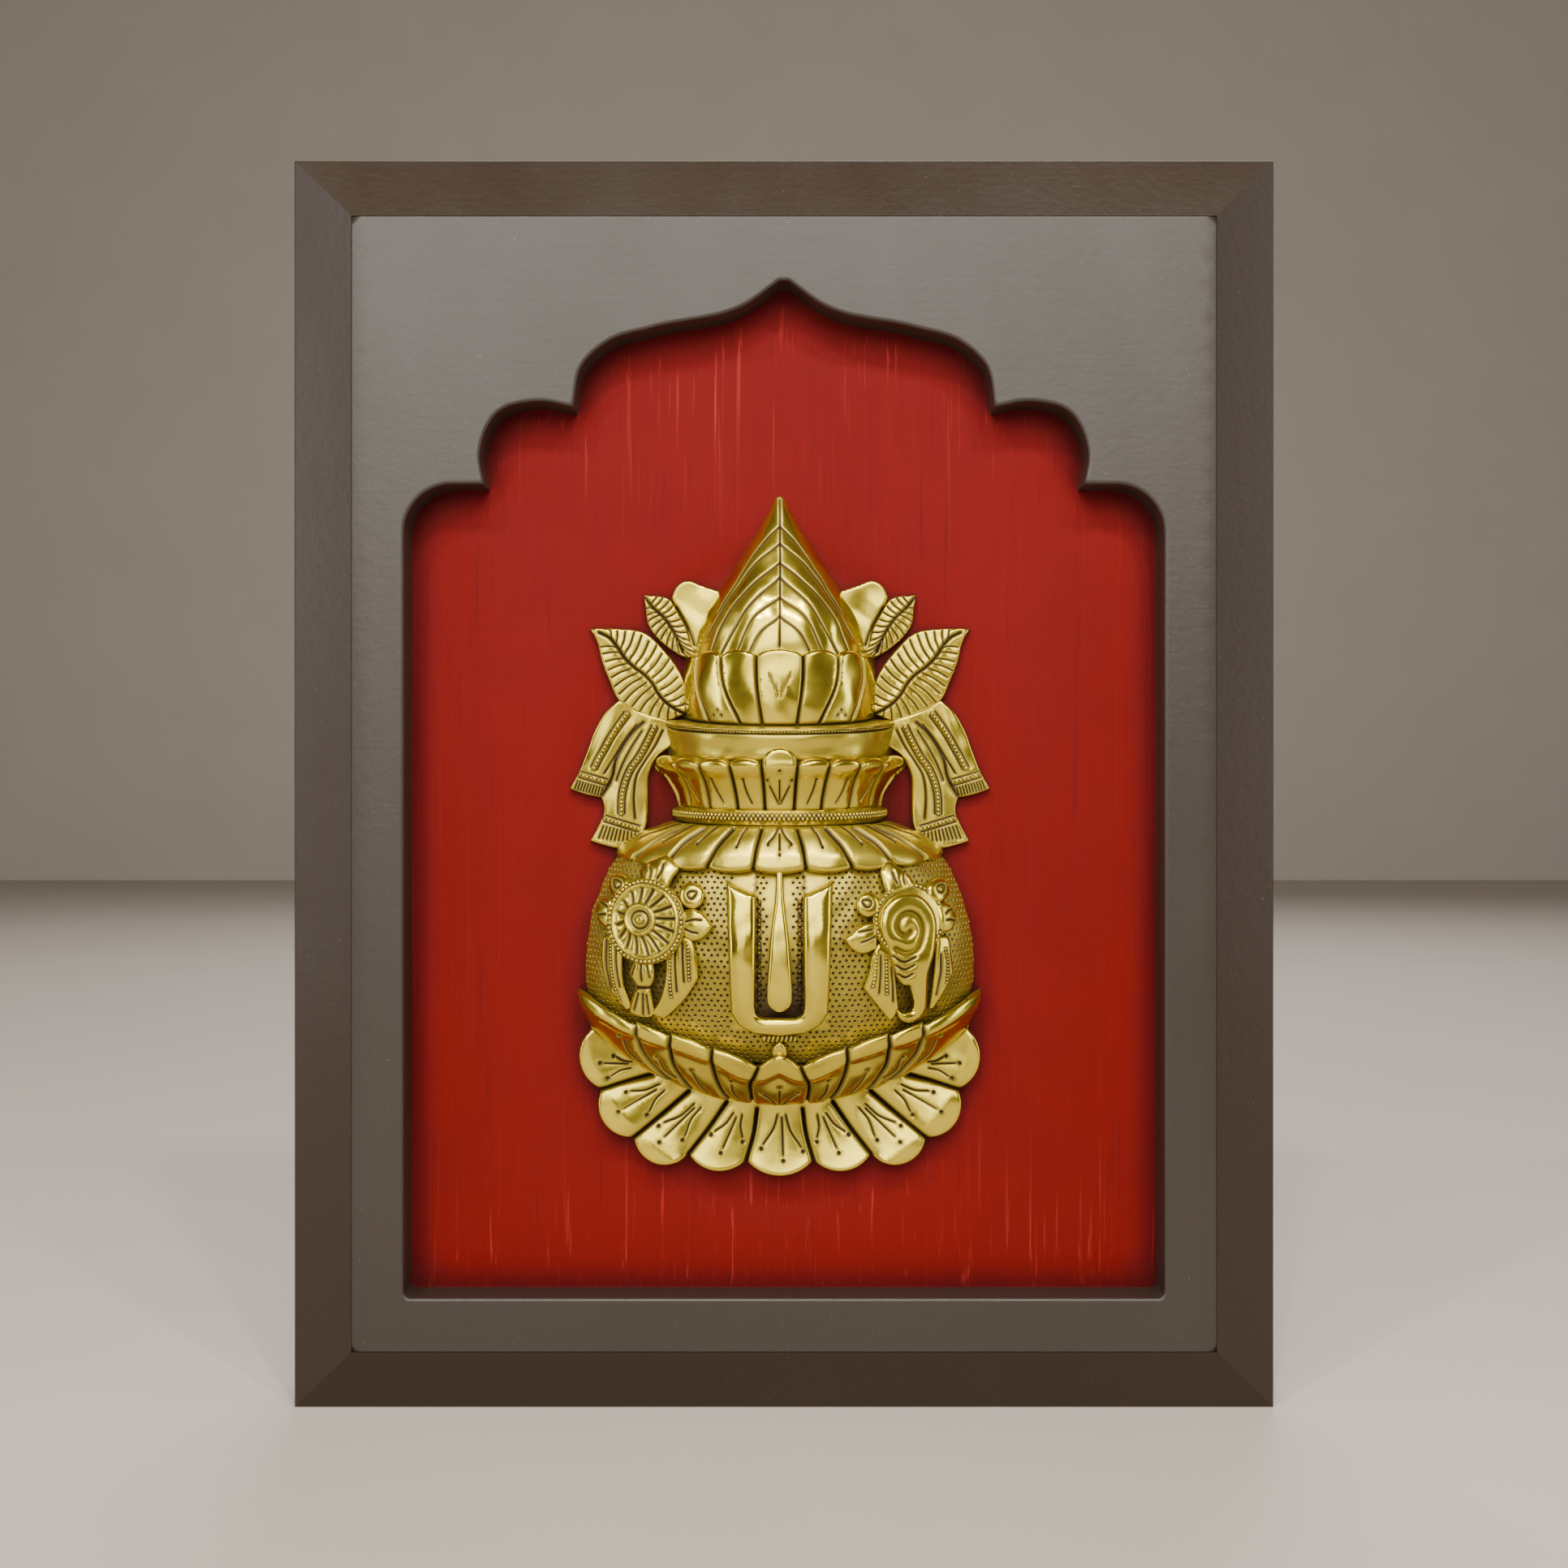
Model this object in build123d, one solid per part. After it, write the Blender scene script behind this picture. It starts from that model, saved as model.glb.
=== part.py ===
from build123d import *
import os
from math import cos, radians, sin

# Framed brass kalash: a pot relief of brazed brass castings on a silk-covered board, behind a
# board with a lobed arch, in a bevelled wooden frame that stands by itself or hangs on two rings.
# +Z is up, +X is the viewer's right, the front faces -Y. The origin is the centre of the bottom
# face. All lengths are millimetres.

# ---- frame ----
FRAME_W = 279.4
FRAME_H = 355.6
FRONT_Y = -14.0
BACK_Y = 24.0
BEVEL_W = 18.0
BEVEL_DROP = 8.0
RIM_R = 0.8
HALF_W = FRAME_W / 2
MID_Z = FRAME_H / 2
INNER_X = HALF_W - BEVEL_W
INNER_LOW = BEVEL_W
INNER_HIGH = FRAME_H - BEVEL_W
STILE_X = HALF_W - BEVEL_W / 2
DOWEL_R = 3.0
DOWEL_LEN = 30.0
DOWEL_YS = (2.0, 16.0)
FIT = 0.05

# ---- layers behind the arch panel, front to back ----
SILK_Y = -2.0
SILK_T = 0.5
WADDING_T = 3.0
BOARD_T = 4.0
BOARD_GAP = 1.5
CLOTH_TURN = 20.0
WADDING_Y = SILK_Y + SILK_T
BOARD_Y = WADDING_Y + WADDING_T
BOARD_BACK = BOARD_Y + BOARD_T
COVER_T = 3.0
COVER_Y = BACK_Y - COVER_T
COVER_GAP = 0.5
STRIP_W = 10.0

# ---- arched opening, left half, relative to the middle of the frame ----
OPEN_X = 107.0
OPEN_LOW = -144.6
OPEN_R = 1.2
SHOULDER_R = 13.7
SHOULDER_TOP = 84.3
CUSP_LOW = (-84.4, SHOULDER_TOP)
CUSP_HIGH = (-59.3, 106.0)
APEX_SIDE = (-1.2, 141.6)
APEX = (0, 142.6)

# ---- brass relief: x from its own centre line, heights from the silk ----
KALASH_X = -1.2
WALL = 2.5
POT_Z = 131.0
POT_A = 57.0
POT_DEPTH = 32.0
POT_C = 46.0
CUP_LIP = 4.5
TILAK_LIP = 4.5
EMBLEM_LIP = 5.0
BASE_T = 4.0
PLATE_T = 3.0
CUP_TIP = (57.5, 118.5)
CUP_RIM_Z = 102.5
CUP_HEEL = (54.4, 109.3)
CUP_FOOT_Z = 87.5

# Rings of the stack above the pot: (height at the sides, half width, depth, lean) of each section.
# The lean, in degrees, is how far the front of the section tips down.
COLLAR = [(159.3, 45.3, 29.5, 8.0), (163.5, 40.0, 28.0, 5.5), (167.0, 29.6, 24.5, 3.0)]
NECK = [(167.0, 30.2, 25.0, 3.0), (171.4, 30.2, 25.0, 3.0)]
FLARE = [(171.4, 28.0, 24.2, 3.0), (175.0, 28.8, 25.0, 3.0), (184.5, 35.3, 30.0, 3.0), (185.8, 34.6, 29.4, 3.0)]
BOWL = [(185.8, 30.6, 26.4, 3.0), (192.0, 31.8, 27.2, 5.0), (196.5, 32.7, 27.5, 7.0)]
SEPALS = [(196.5, 26.4, 21.6, 7.0), (206.0, 27.4, 22.2, 3.5), (214.4, 26.8, 22.0, 0.0)]
CONE = [(214.4, 24.2, 20.0, 0.0), (221.3, 23.2, 19.3, 0.0), (228.2, 20.5, 17.0, 0.0), (238.0, 14.3, 12.0, 0.0),
        (251.0, 6.1, 5.4, 0.0), (260.4, 0.9, 0.9, 0.0)]

# ---- emblems on the belly: place, disc radius, lobes as (x, z, r), sash outline ----
EMBLEM_R = 10.9
CHAKRA_AT = (-36.9, 140.3)
CHAKRA_LOBES = [(5.0, 13.4, 4.3), (-8.4, 8.5, 3.8), (-12.0, 0.8, 3.2), (11.4, 5.4, 3.8), (14.6, -0.6, 3.2)]
CHAKRA_SASH = [(-11.0, -4.0), (13.0, -6.0), (14.2, -15.4), (5.7, -27.2), (-3.5, -27.6), (-12.5, -14.0)]
SHANKHA_AT = (35.9, 140.1)
SHANKHA_LOBES = [(-5.0, 12.4, 4.3), (-10.8, 4.2, 3.8), (-12.6, -3.0, 3.2), (7.8, 7.6, 3.6), (11.4, 0.8, 3.2)]
SHANKHA_SASH = [(-13.0, -6.0), (10.0, -4.0), (12.0, -14.0), (5.6, -27.0), (-3.0, -27.0), (-13.0, -15.0)]

# ---- fixings of the relief: bars across its hollow back, studs, washers and nuts ----
BARS = [(118.0, (-30.0, 30.0)), (148.0, (-26.0, 26.0)), (222.0, (0.0,))]
BAR_H = 10.0
BAR_T = 3.0
STUD_R = 2.0
STUD_TAIL = 6.0
WASHER_R = 6.0
WASHER_T = 1.0
NUT_FLAT = 7.0
NUT_T = 3.0

# ---- rear fittings ----
BUTTON_REACH = 22.0
BUTTON_W = 10.0
BUTTON_T = 1.5
BUTTON_LIFT = 0.2
BUTTON_ZS = (("low", 70.0), ("high", 220.0))
SCREW_R = 1.6
SCREW_HEAD_R = 3.2
SCREW_HEAD_T = 1.5
SCREW_IN = 13.0
SLOT_W = 0.8
SLOT_D = 0.7
EYE_Z = 290.0
EYE_Y = BACK_Y + 2.8
EYE_R = 2.3
STRAP_W = 10.0
STRAP_T = 1.2
STRAP_LEN = 38.0
STRAP_SCREWS = (-22.0, -32.0)
RING_WIRE = 1.1
RING_X = 7.2
RING_LEG = 8.0
RING_BEND = 2.0
PAD_R = 6.0
PAD_T = 3.0
PAD_Z = 12.0

FAR = 400.0


# ---- helpers ----
def block(x0, x1, y0, y1, z0, z1):
    """Box between two corners."""
    centre = Pos((x0 + x1) / 2, (y0 + y1) / 2, (z0 + z1) / 2)
    return centre * Box(x1 - x0, y1 - y0, z1 - z0)


def rod_y(x, z, r, y0, y1):
    """Round bar along Y."""
    return Pos(x, (y0 + y1) / 2, z) * Rot(90, 0, 0) * Cylinder(r, y1 - y0)


def upright(edges, y_front, y_back):
    """Closed outline drawn as (x, z), as a slab between two depths."""
    face = Plane.XZ * Face(Wire(edges))
    return extrude(Pos(0, y_back, 0) * face, y_back - y_front, dir=(0, -1, 0))


def relief(edges, height):
    """Outline about the brass's centre line, raised from the silk by a height."""
    return Pos(KALASH_X, 0, 0) * upright(edges, SILK_Y - height, SILK_Y)


def flipped(edges):
    """The same edges on the other side of the centre line."""
    return [mirror(e, about=Plane.YZ).edges()[0] for e in edges]


def polygon(points):
    """Closed run of straight edges."""
    return [Line(a, b) for a, b in zip(points, points[1:] + points[:1])]


def disc(x, z, r):
    return [CenterArc((x, z), r, 0, 360)]


def write(name, *solids):
    """Writes one node; separate solids in it stay separate."""
    shape = solids[0] if len(solids) == 1 else Compound(children=list(solids))
    export_step(shape, f"parts/{name}.step")


def largest(shape):
    return max(shape.solids(), key=lambda s: s.volume)


# ---- wooden frame ----
def bevelled_ring():
    """The whole moulding, with the bevels meeting at the corners, before it is cut up."""
    brink = FRONT_Y + BEVEL_DROP
    side = [(FRONT_Y, INNER_LOW), (FRONT_Y, INNER_HIGH), (brink, FRAME_H),
            (BACK_Y, FRAME_H), (BACK_Y, 0), (brink, 0)]
    plan = [(-INNER_X, FRONT_Y), (INNER_X, FRONT_Y), (HALF_W, brink),
            (HALF_W, BACK_Y), (-HALF_W, BACK_Y), (-HALF_W, brink)]
    across = extrude(Plane.YZ * Face(Wire(polygon(side))), HALF_W, both=True)
    along = extrude(Face(Wire(polygon(plan))), FRAME_H)
    body = across & along
    rim = [e for e in body.edges() if abs(e.center().Y - brink) < 0.01]
    body = fillet(rim, RIM_R)
    return body - block(-INNER_X, INNER_X, -FAR, FAR, INNER_LOW, INNER_HIGH)


def dowel_places():
    """Centre of each dowel: two in every corner joint."""
    for x in (-STILE_X, STILE_X):
        for y in DOWEL_YS:
            for z in (INNER_LOW, INNER_HIGH):
                yield x, y, z


def frame_members():
    ring = bevelled_ring()
    middle = block(-FAR, FAR, -FAR, FAR, INNER_LOW, INNER_HIGH)
    bars = {
        "top_rail": ring & block(-FAR, FAR, -FAR, FAR, INNER_HIGH, FRAME_H),
        "bottom_rail": ring & block(-FAR, FAR, -FAR, FAR, 0, INNER_LOW),
        "left_stile": ring & middle & block(-FAR, 0, -FAR, FAR, 0, FRAME_H),
        "right_stile": ring & middle & block(0, FAR, -FAR, FAR, 0, FRAME_H),
    }
    dowels = [Pos(p) * Cylinder(DOWEL_R, DOWEL_LEN - 1) for p in dowel_places()]
    holes = [Pos(p) * Cylinder(DOWEL_R + FIT, DOWEL_LEN) for p in dowel_places()]
    pilots = [rod_y(x, z, SCREW_R + FIT, BACK_Y - SCREW_IN - 1, BACK_Y + 1) for x, z in screw_places()]
    for name, bar in bars.items():
        for cut in holes + pilots:
            bar -= cut
        write(name, bar)
    write("corner_dowels", *dowels)


def screw_places():
    """Every screw in the back of the stiles."""
    places = []
    for x in (-STILE_X, STILE_X):
        places += [(x, z) for _, z in BUTTON_ZS]
        places += [(x, EYE_Z + drop) for drop in STRAP_SCREWS]
    return places


def arch_edges():
    """The lobed arch: sill, straight side, round shoulder, two cusps and the pointed top."""
    corner = (-OPEN_X + OPEN_R, OPEN_LOW)
    side_foot = (-OPEN_X, OPEN_LOW + OPEN_R)
    shoulder_z = SHOULDER_TOP - SHOULDER_R
    shoulder_in = (-OPEN_X + SHOULDER_R, SHOULDER_TOP)
    half_turn = SHOULDER_R * (1 - cos(radians(45)))
    left = [
        Line((0, OPEN_LOW), corner),
        Line(corner, side_foot),
        Line(side_foot, (-OPEN_X, shoulder_z)),
        ThreePointArc((-OPEN_X, shoulder_z), (-OPEN_X + half_turn, SHOULDER_TOP - half_turn), shoulder_in),
        Line(shoulder_in, CUSP_LOW),
        Spline(CUSP_LOW, (-85.6, 93.0), (-80.2, 104.7), (-69.1, 107.6), CUSP_HIGH),
        Spline(CUSP_HIGH, (-56.9, 117.5), (-49.4, 124.5), (-37.1, 128.3), (-10.9, 134.7), APEX_SIDE),
    ]
    tip = ThreePointArc(APEX_SIDE, APEX, (-APEX_SIDE[0], APEX_SIDE[1]))
    return left + [tip] + flipped(left)


def arch_panel():
    panel = block(-INNER_X, INNER_X, FRONT_Y, SILK_Y, INNER_LOW, INNER_HIGH)
    hole = Pos(0, 0, MID_Z) * upright(arch_edges(), FRONT_Y - 1, SILK_Y + 1)
    write("arch_panel", panel - hole)


# ---- silk-covered board, its spacers and the rear cover ----
def covered_board():
    x = INNER_X - BOARD_GAP
    low = INNER_LOW + BOARD_GAP
    high = INNER_HIGH - BOARD_GAP
    wadding = block(-x, x, WADDING_Y, BOARD_Y, low, high)
    board = block(-x, x, BOARD_Y, BOARD_BACK, low, high)
    wrap = block(-x - SILK_T, x + SILK_T, SILK_Y, BOARD_BACK + SILK_T, low - SILK_T, high + SILK_T)
    window = block(-x + CLOTH_TURN, x - CLOTH_TURN, BOARD_BACK - 1, BOARD_BACK + 2,
                   low + CLOTH_TURN, high - CLOTH_TURN)
    silk = wrap - wadding - board - window
    for stud_x, z in stud_places():
        hole = rod_y(stud_x, z, STUD_R + FIT, SILK_Y - 1, BOARD_BACK + 1)
        wadding -= hole
        board -= hole
        silk -= hole
    write("silk_cloth", silk)
    write("wadding", wadding)
    write("silk_board", board)


def spacers():
    """Four strips that press the covered board forward and stop the rear cover."""
    y0 = BOARD_BACK + SILK_T
    low = INNER_LOW + STRIP_W
    high = INNER_HIGH - STRIP_W
    write("spacer_bottom", block(-INNER_X, INNER_X, y0, COVER_Y, INNER_LOW, low))
    write("spacer_top", block(-INNER_X, INNER_X, y0, COVER_Y, high, INNER_HIGH))
    write("spacer_left", block(-INNER_X, -INNER_X + STRIP_W, y0, COVER_Y, low, high))
    write("spacer_right", block(INNER_X - STRIP_W, INNER_X, y0, COVER_Y, low, high))


def rear_cover():
    x = INNER_X - COVER_GAP
    write("rear_cover", block(-x, x, COVER_Y, BACK_Y, INNER_LOW + COVER_GAP, INNER_HIGH - COVER_GAP))


# ---- brass relief ----
def pot(grow=0.0):
    """The ellipsoid of the belly, grown or shrunk evenly, its seam turned to the back."""
    sizes = (POT_A + grow, POT_DEPTH + grow, POT_C + grow)
    return Pos(KALASH_X, SILK_Y, POT_Z) * scale(Rot(0, 0, 90) * Sphere(1), by=sizes)


def in_front(solid):
    """What lies in front of the silk."""
    return solid & block(-FAR, FAR, -FAR, SILK_Y, -FAR, FAR)


def section(z, half_width, depth, lean):
    """Half ellipse on a plane that leans, so that its front lies lower than its ends."""
    plane = Plane(origin=(KALASH_X, SILK_Y, z), x_dir=(1, 0, 0),
                  z_dir=(0, -sin(radians(lean)), cos(radians(lean))))
    behind = Pos(0, depth) * Rectangle(4 * half_width, 2 * depth)
    return plane * (Ellipse(half_width, depth) - behind)


def stage(sections, inset=0.0, overrun=0.0):
    """Solid through the sections, each inset, running past both ends by an overrun."""
    rows = list(sections)
    if overrun:
        rows = [(rows[0][0] - overrun,) + rows[0][1:]] + rows + [(rows[-1][0] + overrun,) + rows[-1][1:]]
    faces = [section(z, a - inset, depth - inset, lean) for z, a, depth, lean in rows]
    return loft(faces, ruled=True)


def ring_part(name, sections):
    """Open brass ring with an even wall."""
    write(name, stage(sections) - stage(sections, inset=WALL, overrun=1.0))


def cone_core():
    """Hollow of the cone, which ends well below its tip."""
    return stage([(CONE[0][0] - 1,) + CONE[0][1:]] + CONE[:4], inset=WALL)


def stack():
    for name, sections in (("shoulder_collar", COLLAR), ("neck_ring", NECK), ("petal_flare", FLARE),
                           ("mouth_bowl", BOWL), ("petal_cup", SEPALS)):
        ring_part(name, sections)
    write("coconut_cone", stage(CONE) - cone_core())


def stack_solid():
    """The stack without its hollow, which side plates stop at."""
    whole = stage(CONE)
    for sections in (SEPALS, BOWL, FLARE, NECK, COLLAR):
        whole = whole + stage(sections)
    return whole


def left_right(point):
    return (-point[0], point[1]), point


def cup_rim():
    left, right = left_right(CUP_TIP)
    return ThreePointArc(left, (0, CUP_RIM_Z), right)


def cup_foot():
    left, right = left_right(CUP_HEEL)
    return ThreePointArc(right, (0, CUP_FOOT_Z), left)


def pot_body():
    """The belly between the lotus cup's rim and the shoulder collar."""
    shoulder = Pos(0, SILK_Y, COLLAR[0][0]) * Rot(COLLAR[0][3], 0, 0)
    body = (pot() - pot(-WALL)) & (shoulder * block(-FAR, FAR, -FAR, FAR, -FAR, 0))
    tip_left, tip_right = left_right(CUP_TIP)
    drop = [(FAR, CUP_TIP[1]), (FAR, -FAR), (-FAR, -FAR), (-FAR, CUP_TIP[1])]
    run = [tip_right] + drop + [tip_left]
    below = [cup_rim()] + [Line(a, b) for a, b in zip(run, run[1:])]
    write("pot_body", largest(in_front(body) - relief(below, FAR)))


def lotus_cup():
    """Crescent of petals under the pot, a little proud of it."""
    tip_left, tip_right = left_right(CUP_TIP)
    heel_left, heel_right = left_right(CUP_HEEL)
    edges = [cup_rim(), Line(tip_right, heel_right), cup_foot(), Line(heel_left, tip_left)]
    blank = relief(edges, 2 * POT_DEPTH) & pot(CUP_LIP)
    write("lotus_cup", largest(blank - pot(-WALL)))


def lotus_base():
    """Nine flat petals in a fan; each outer edge is an arc from notch to notch."""
    notches = [(-53.4, 108.2), (-50.6, 91.1), (-41.5, 77.4), (-26.0, 72.5), (-9.6, 70.5)]
    bulges = [(-57.0, 99.6), (-50.6, 82.4), (-35.2, 69.8), (-17.4, 67.6)]
    left = [ThreePointArc(a, b, c) for a, b, c in zip(notches, bulges, notches[1:])]
    last = notches[-1]
    front = ThreePointArc(last, (0, 66.4), (-last[0], last[1]))
    heel_left, heel_right = left_right(CUP_HEEL)
    step = Line(heel_left, notches[0])
    edges = left + [front] + flipped(left) + [step] + flipped([step]) + [cup_foot()]
    write("lotus_base", relief(edges, BASE_T))


def leaves():
    """The mango leaves of the left side: a large one, a small one above it and a plain one behind."""
    big_tip, big_root = (-54.5, 222.3), (-26.7, 197.9)
    small_tip, small_root = (-38.9, 231.9), (-22.0, 213.4)
    return {
        "big_leaf": relief([
            Spline(big_tip, (-38.8, 221.1), (-33.2, 216.1), (-27.6, 206.9), big_root),
            Spline(big_root, (-32.9, 195.8), (-41.6, 198.7), (-48.6, 206.9), big_tip)], PLATE_T),
        "small_leaf": relief([
            Spline(small_tip, (-31.5, 230.5), (-26.8, 222.5), small_root),
            Spline(small_root, (-32.4, 217.2), (-37.7, 223.4), small_tip)], PLATE_T),
        "rear_leaf": relief(polygon([
            (-31.1, 231.1), (-27.1, 236.0), (-14.0, 231.8), (-16.0, 214.6), (-26.0, 214.6)]), PLATE_T),
    }


def sash_plate():
    """Two hanging sash ends of the left side, cast as one plate."""
    hem_out, hem_step, hem_in = (-60.2, 176.4), (-51.0, 173.9), (-54.3, 161.5)
    edges = [
        Spline((-46.0, 201.8), (-53.1, 192.9), (-57.2, 182.0), hem_out),
        Line(hem_out, hem_step),
        Spline(hem_step, (-51.4, 167.6), hem_in),
        Spline(hem_in, (-50.1, 160.2), (-44.8, 159.3), (-38.3, 165.8)),
        Spline((-38.3, 165.8), (-37.4, 180.8), (-30.7, 188.8)),
        Line((-30.7, 188.8), (-30.7, 196.0)),
        Line((-30.7, 196.0), (-46.0, 201.8)),
    ]
    return relief(edges, PLATE_T)


def side_plates():
    """Leaves and sashes of both sides, each cut back to what stands in front of it."""
    in_the_way = stack_solid()
    pieces = {}
    for name, leaf in leaves().items():
        pieces[name] = largest(leaf - in_the_way)
        in_the_way = in_the_way + leaf
    pieces["sashes"] = largest(sash_plate() - in_the_way - pot())
    across = Plane(origin=(KALASH_X, 0, 0), z_dir=(1, 0, 0))
    for name, piece in pieces.items():
        write(f"{name}_left", piece)
        write(f"{name}_right", mirror(piece, about=across))


def on_pot(shape, lip):
    """A piece cut from a shell of even thickness on the belly."""
    return largest((shape & pot(lip)) - pot())


def tilak():
    """The U-shaped mark and the drop-shaped stroke inside it."""
    outer = [(14.7, 151.7), (13.4, 115.5), (11.2, 112.2), (6.8, 109.7)]
    inner = [(-6.4, 148.0), (-7.2, 116.4), (-5.2, 114.2)]
    edges = polygon(outer + [(-x, z) for x, z in reversed(outer)] + inner
                    + [(-x, z) for x, z in reversed(inner)])
    write("tilak_u", on_pot(relief(edges, FAR), TILAK_LIP))
    top_left, top_right = left_right((0.9, 153.0))
    low_left, low_right = left_right((3.5, 119.6))
    stroke = [
        Line(top_left, top_right),
        Spline(top_right, (2.3, 137.3), low_right),
        ThreePointArc(low_right, (0, 116.0), low_left),
        Spline(low_left, (-2.3, 137.3), top_left),
    ]
    write("tilak_stroke", on_pot(relief(stroke, FAR), TILAK_LIP))


def emblem(name, at, lobes, sash):
    """A round medallion with lobes around it and a sash below."""
    x, z = at
    shape = relief(disc(x, z, EMBLEM_R), FAR)
    for dx, dz, r in lobes:
        shape += relief(disc(x + dx, z + dz, r), FAR)
    shape += relief(polygon([(x + dx, z + dz) for dx, dz in sash]), FAR)
    write(name, on_pot(shape, EMBLEM_LIP) - stage(COLLAR))


# ---- fixings of the relief ----
def stud_places():
    return [(x + KALASH_X, z) for z, xs in BARS for x in xs]


def hollow_at(z):
    """The hollow that a bar at this height spans."""
    return pot(-WALL) if z < COLLAR[0][0] else cone_core()


def nut(x, z, y0):
    """Hexagon nut, point up, across its flats."""
    across_points = NUT_FLAT / cos(radians(30)) / 2
    hexagon = Plane.XZ * RegularPolygon(across_points, 6)
    solid = extrude(Pos(x, y0, z) * hexagon, NUT_T, dir=(0, 1, 0))
    return solid - rod_y(x, z, STUD_R + FIT, y0 - 1, y0 + NUT_T + 1)


def relief_fixings():
    bars = []
    for z, xs in BARS:
        bar = block(-FAR, FAR, SILK_Y - BAR_T, SILK_Y, z - BAR_H / 2, z + BAR_H / 2) & hollow_at(z)
        for x in xs:
            bar -= rod_y(x + KALASH_X, z, STUD_R + FIT, SILK_Y - BAR_T - 1, SILK_Y + 1)
        bars.append(largest(bar))
    write("back_bars", *bars)
    seat = BOARD_BACK + WASHER_T
    end = seat + NUT_T + STUD_TAIL
    places = stud_places()
    write("mounting_studs", *[rod_y(x, z, STUD_R, SILK_Y - BAR_T, end) for x, z in places])
    write("mounting_washers", *[rod_y(x, z, WASHER_R, BOARD_BACK, seat)
                                - rod_y(x, z, STUD_R + FIT, BOARD_BACK - 1, seat + 1) for x, z in places])
    write("mounting_nuts", *[nut(x, z, seat) for x, z in places])


# ---- rear fittings ----
def slotted_screw(x, z, seat):
    """Wood screw in the back of the frame, its head standing on a seat."""
    top = seat + SCREW_HEAD_T
    screw = rod_y(x, z, SCREW_R, BACK_Y - SCREW_IN, seat) + rod_y(x, z, SCREW_HEAD_R, seat, top)
    slot = block(x - SCREW_HEAD_R, x + SCREW_HEAD_R, top - SLOT_D, top + 1, z - SLOT_W / 2, z + SLOT_W / 2)
    return screw - slot


def turn_buttons():
    """Four swivelling clips that hold the rear cover, and the screws they turn on."""
    y0 = BACK_Y + BUTTON_LIFT
    y1 = y0 + BUTTON_T
    screws = []
    for side, pivot in (("left", -STILE_X), ("right", STILE_X)):
        end = pivot - BUTTON_REACH + BUTTON_W / 2 if pivot > 0 else pivot + BUTTON_REACH - BUTTON_W / 2
        for level, z in BUTTON_ZS:
            bar = block(min(pivot, end), max(pivot, end), y0, y1, z - BUTTON_W / 2, z + BUTTON_W / 2)
            bar += rod_y(pivot, z, BUTTON_W / 2, y0, y1) + rod_y(end, z, BUTTON_W / 2, y0, y1)
            bar -= rod_y(pivot, z, SCREW_R + FIT, y0 - 1, y1 + 1)
            write(f"turn_button_{side}_{level}", bar)
            screws.append(slotted_screw(pivot, z, y1 + BUTTON_LIFT))
    write("turn_button_screws", *screws)


def eye_rod(x, half_length, r):
    """Round bar along X through the eye of a hanger strap."""
    return Pos(x, EYE_Y, EYE_Z) * Rot(0, 90, 0) * Cylinder(r, 2 * half_length)


def hangers():
    """A screwed strap with a rolled eye on each stile, and the D-ring that swings in it."""
    screws = []
    for side, x in (("left", -STILE_X), ("right", STILE_X)):
        half = STRAP_W / 2
        strap = block(x - half, x + half, BACK_Y, BACK_Y + STRAP_T, EYE_Z - STRAP_LEN, EYE_Z + EYE_R)
        strap += block(x - half, x + half, BACK_Y, EYE_Y, EYE_Z - EYE_R, EYE_Z + EYE_R)
        strap += eye_rod(x, half, EYE_R)
        strap -= eye_rod(x, half + 1, RING_WIRE + FIT)
        for drop in STRAP_SCREWS:
            strap -= rod_y(x, EYE_Z + drop, SCREW_R + FIT, BACK_Y - 1, EYE_Y)
            screws.append(slotted_screw(x, EYE_Z + drop, BACK_Y + STRAP_T))
        write(f"hanger_strap_{side}", strap)
        write(f"hanger_ring_{side}", d_ring(x))
    write("hanger_screws", *screws)


def d_ring(x):
    """Wire ring with a straight bar in the eye and a round bow below."""
    left, right, low = x - RING_X, x + RING_X, EYE_Z - RING_LEG
    bend = RING_BEND
    curve = bend * (1 - cos(radians(45)))
    path = Wire([
        Line((x, EYE_Z), (right - bend, EYE_Z)),
        ThreePointArc((right - bend, EYE_Z), (right - curve, EYE_Z - curve), (right, EYE_Z - bend)),
        Line((right, EYE_Z - bend), (right, low)),
        ThreePointArc((right, low), (x, low - RING_X), (left, low)),
        Line((left, low), (left, EYE_Z - bend)),
        ThreePointArc((left, EYE_Z - bend), (left + curve, EYE_Z - curve), (left + bend, EYE_Z)),
        Line((left + bend, EYE_Z), (x, EYE_Z)),
    ])
    path = Pos(0, EYE_Y, 0) * (Plane.XZ * path)
    wire_end = Plane(origin=(x, EYE_Y, EYE_Z), z_dir=(1, 0, 0)) * Circle(RING_WIRE)
    return sweep(wire_end, path=path)


def bumper_pads():
    write("bumper_pads", *[rod_y(x, PAD_Z, PAD_R, BACK_Y, BACK_Y + PAD_T) for x in (-STILE_X, STILE_X)])


os.makedirs("parts", exist_ok=True)
frame_members()
arch_panel()
covered_board()
spacers()
rear_cover()
stack()
pot_body()
lotus_cup()
lotus_base()
side_plates()
tilak()
emblem("chakra_emblem", CHAKRA_AT, CHAKRA_LOBES, CHAKRA_SASH)
emblem("shankha_emblem", SHANKHA_AT, SHANKHA_LOBES, SHANKHA_SASH)
relief_fixings()
turn_buttons()
hangers()
bumper_pads()
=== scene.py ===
import random
from math import atan2, cos, pi, radians, sin, sqrt, tan

import bmesh
import bpy
import numpy as np
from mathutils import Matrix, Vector, kdtree
from mathutils.geometry import delaunay_2d_cdt


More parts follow.
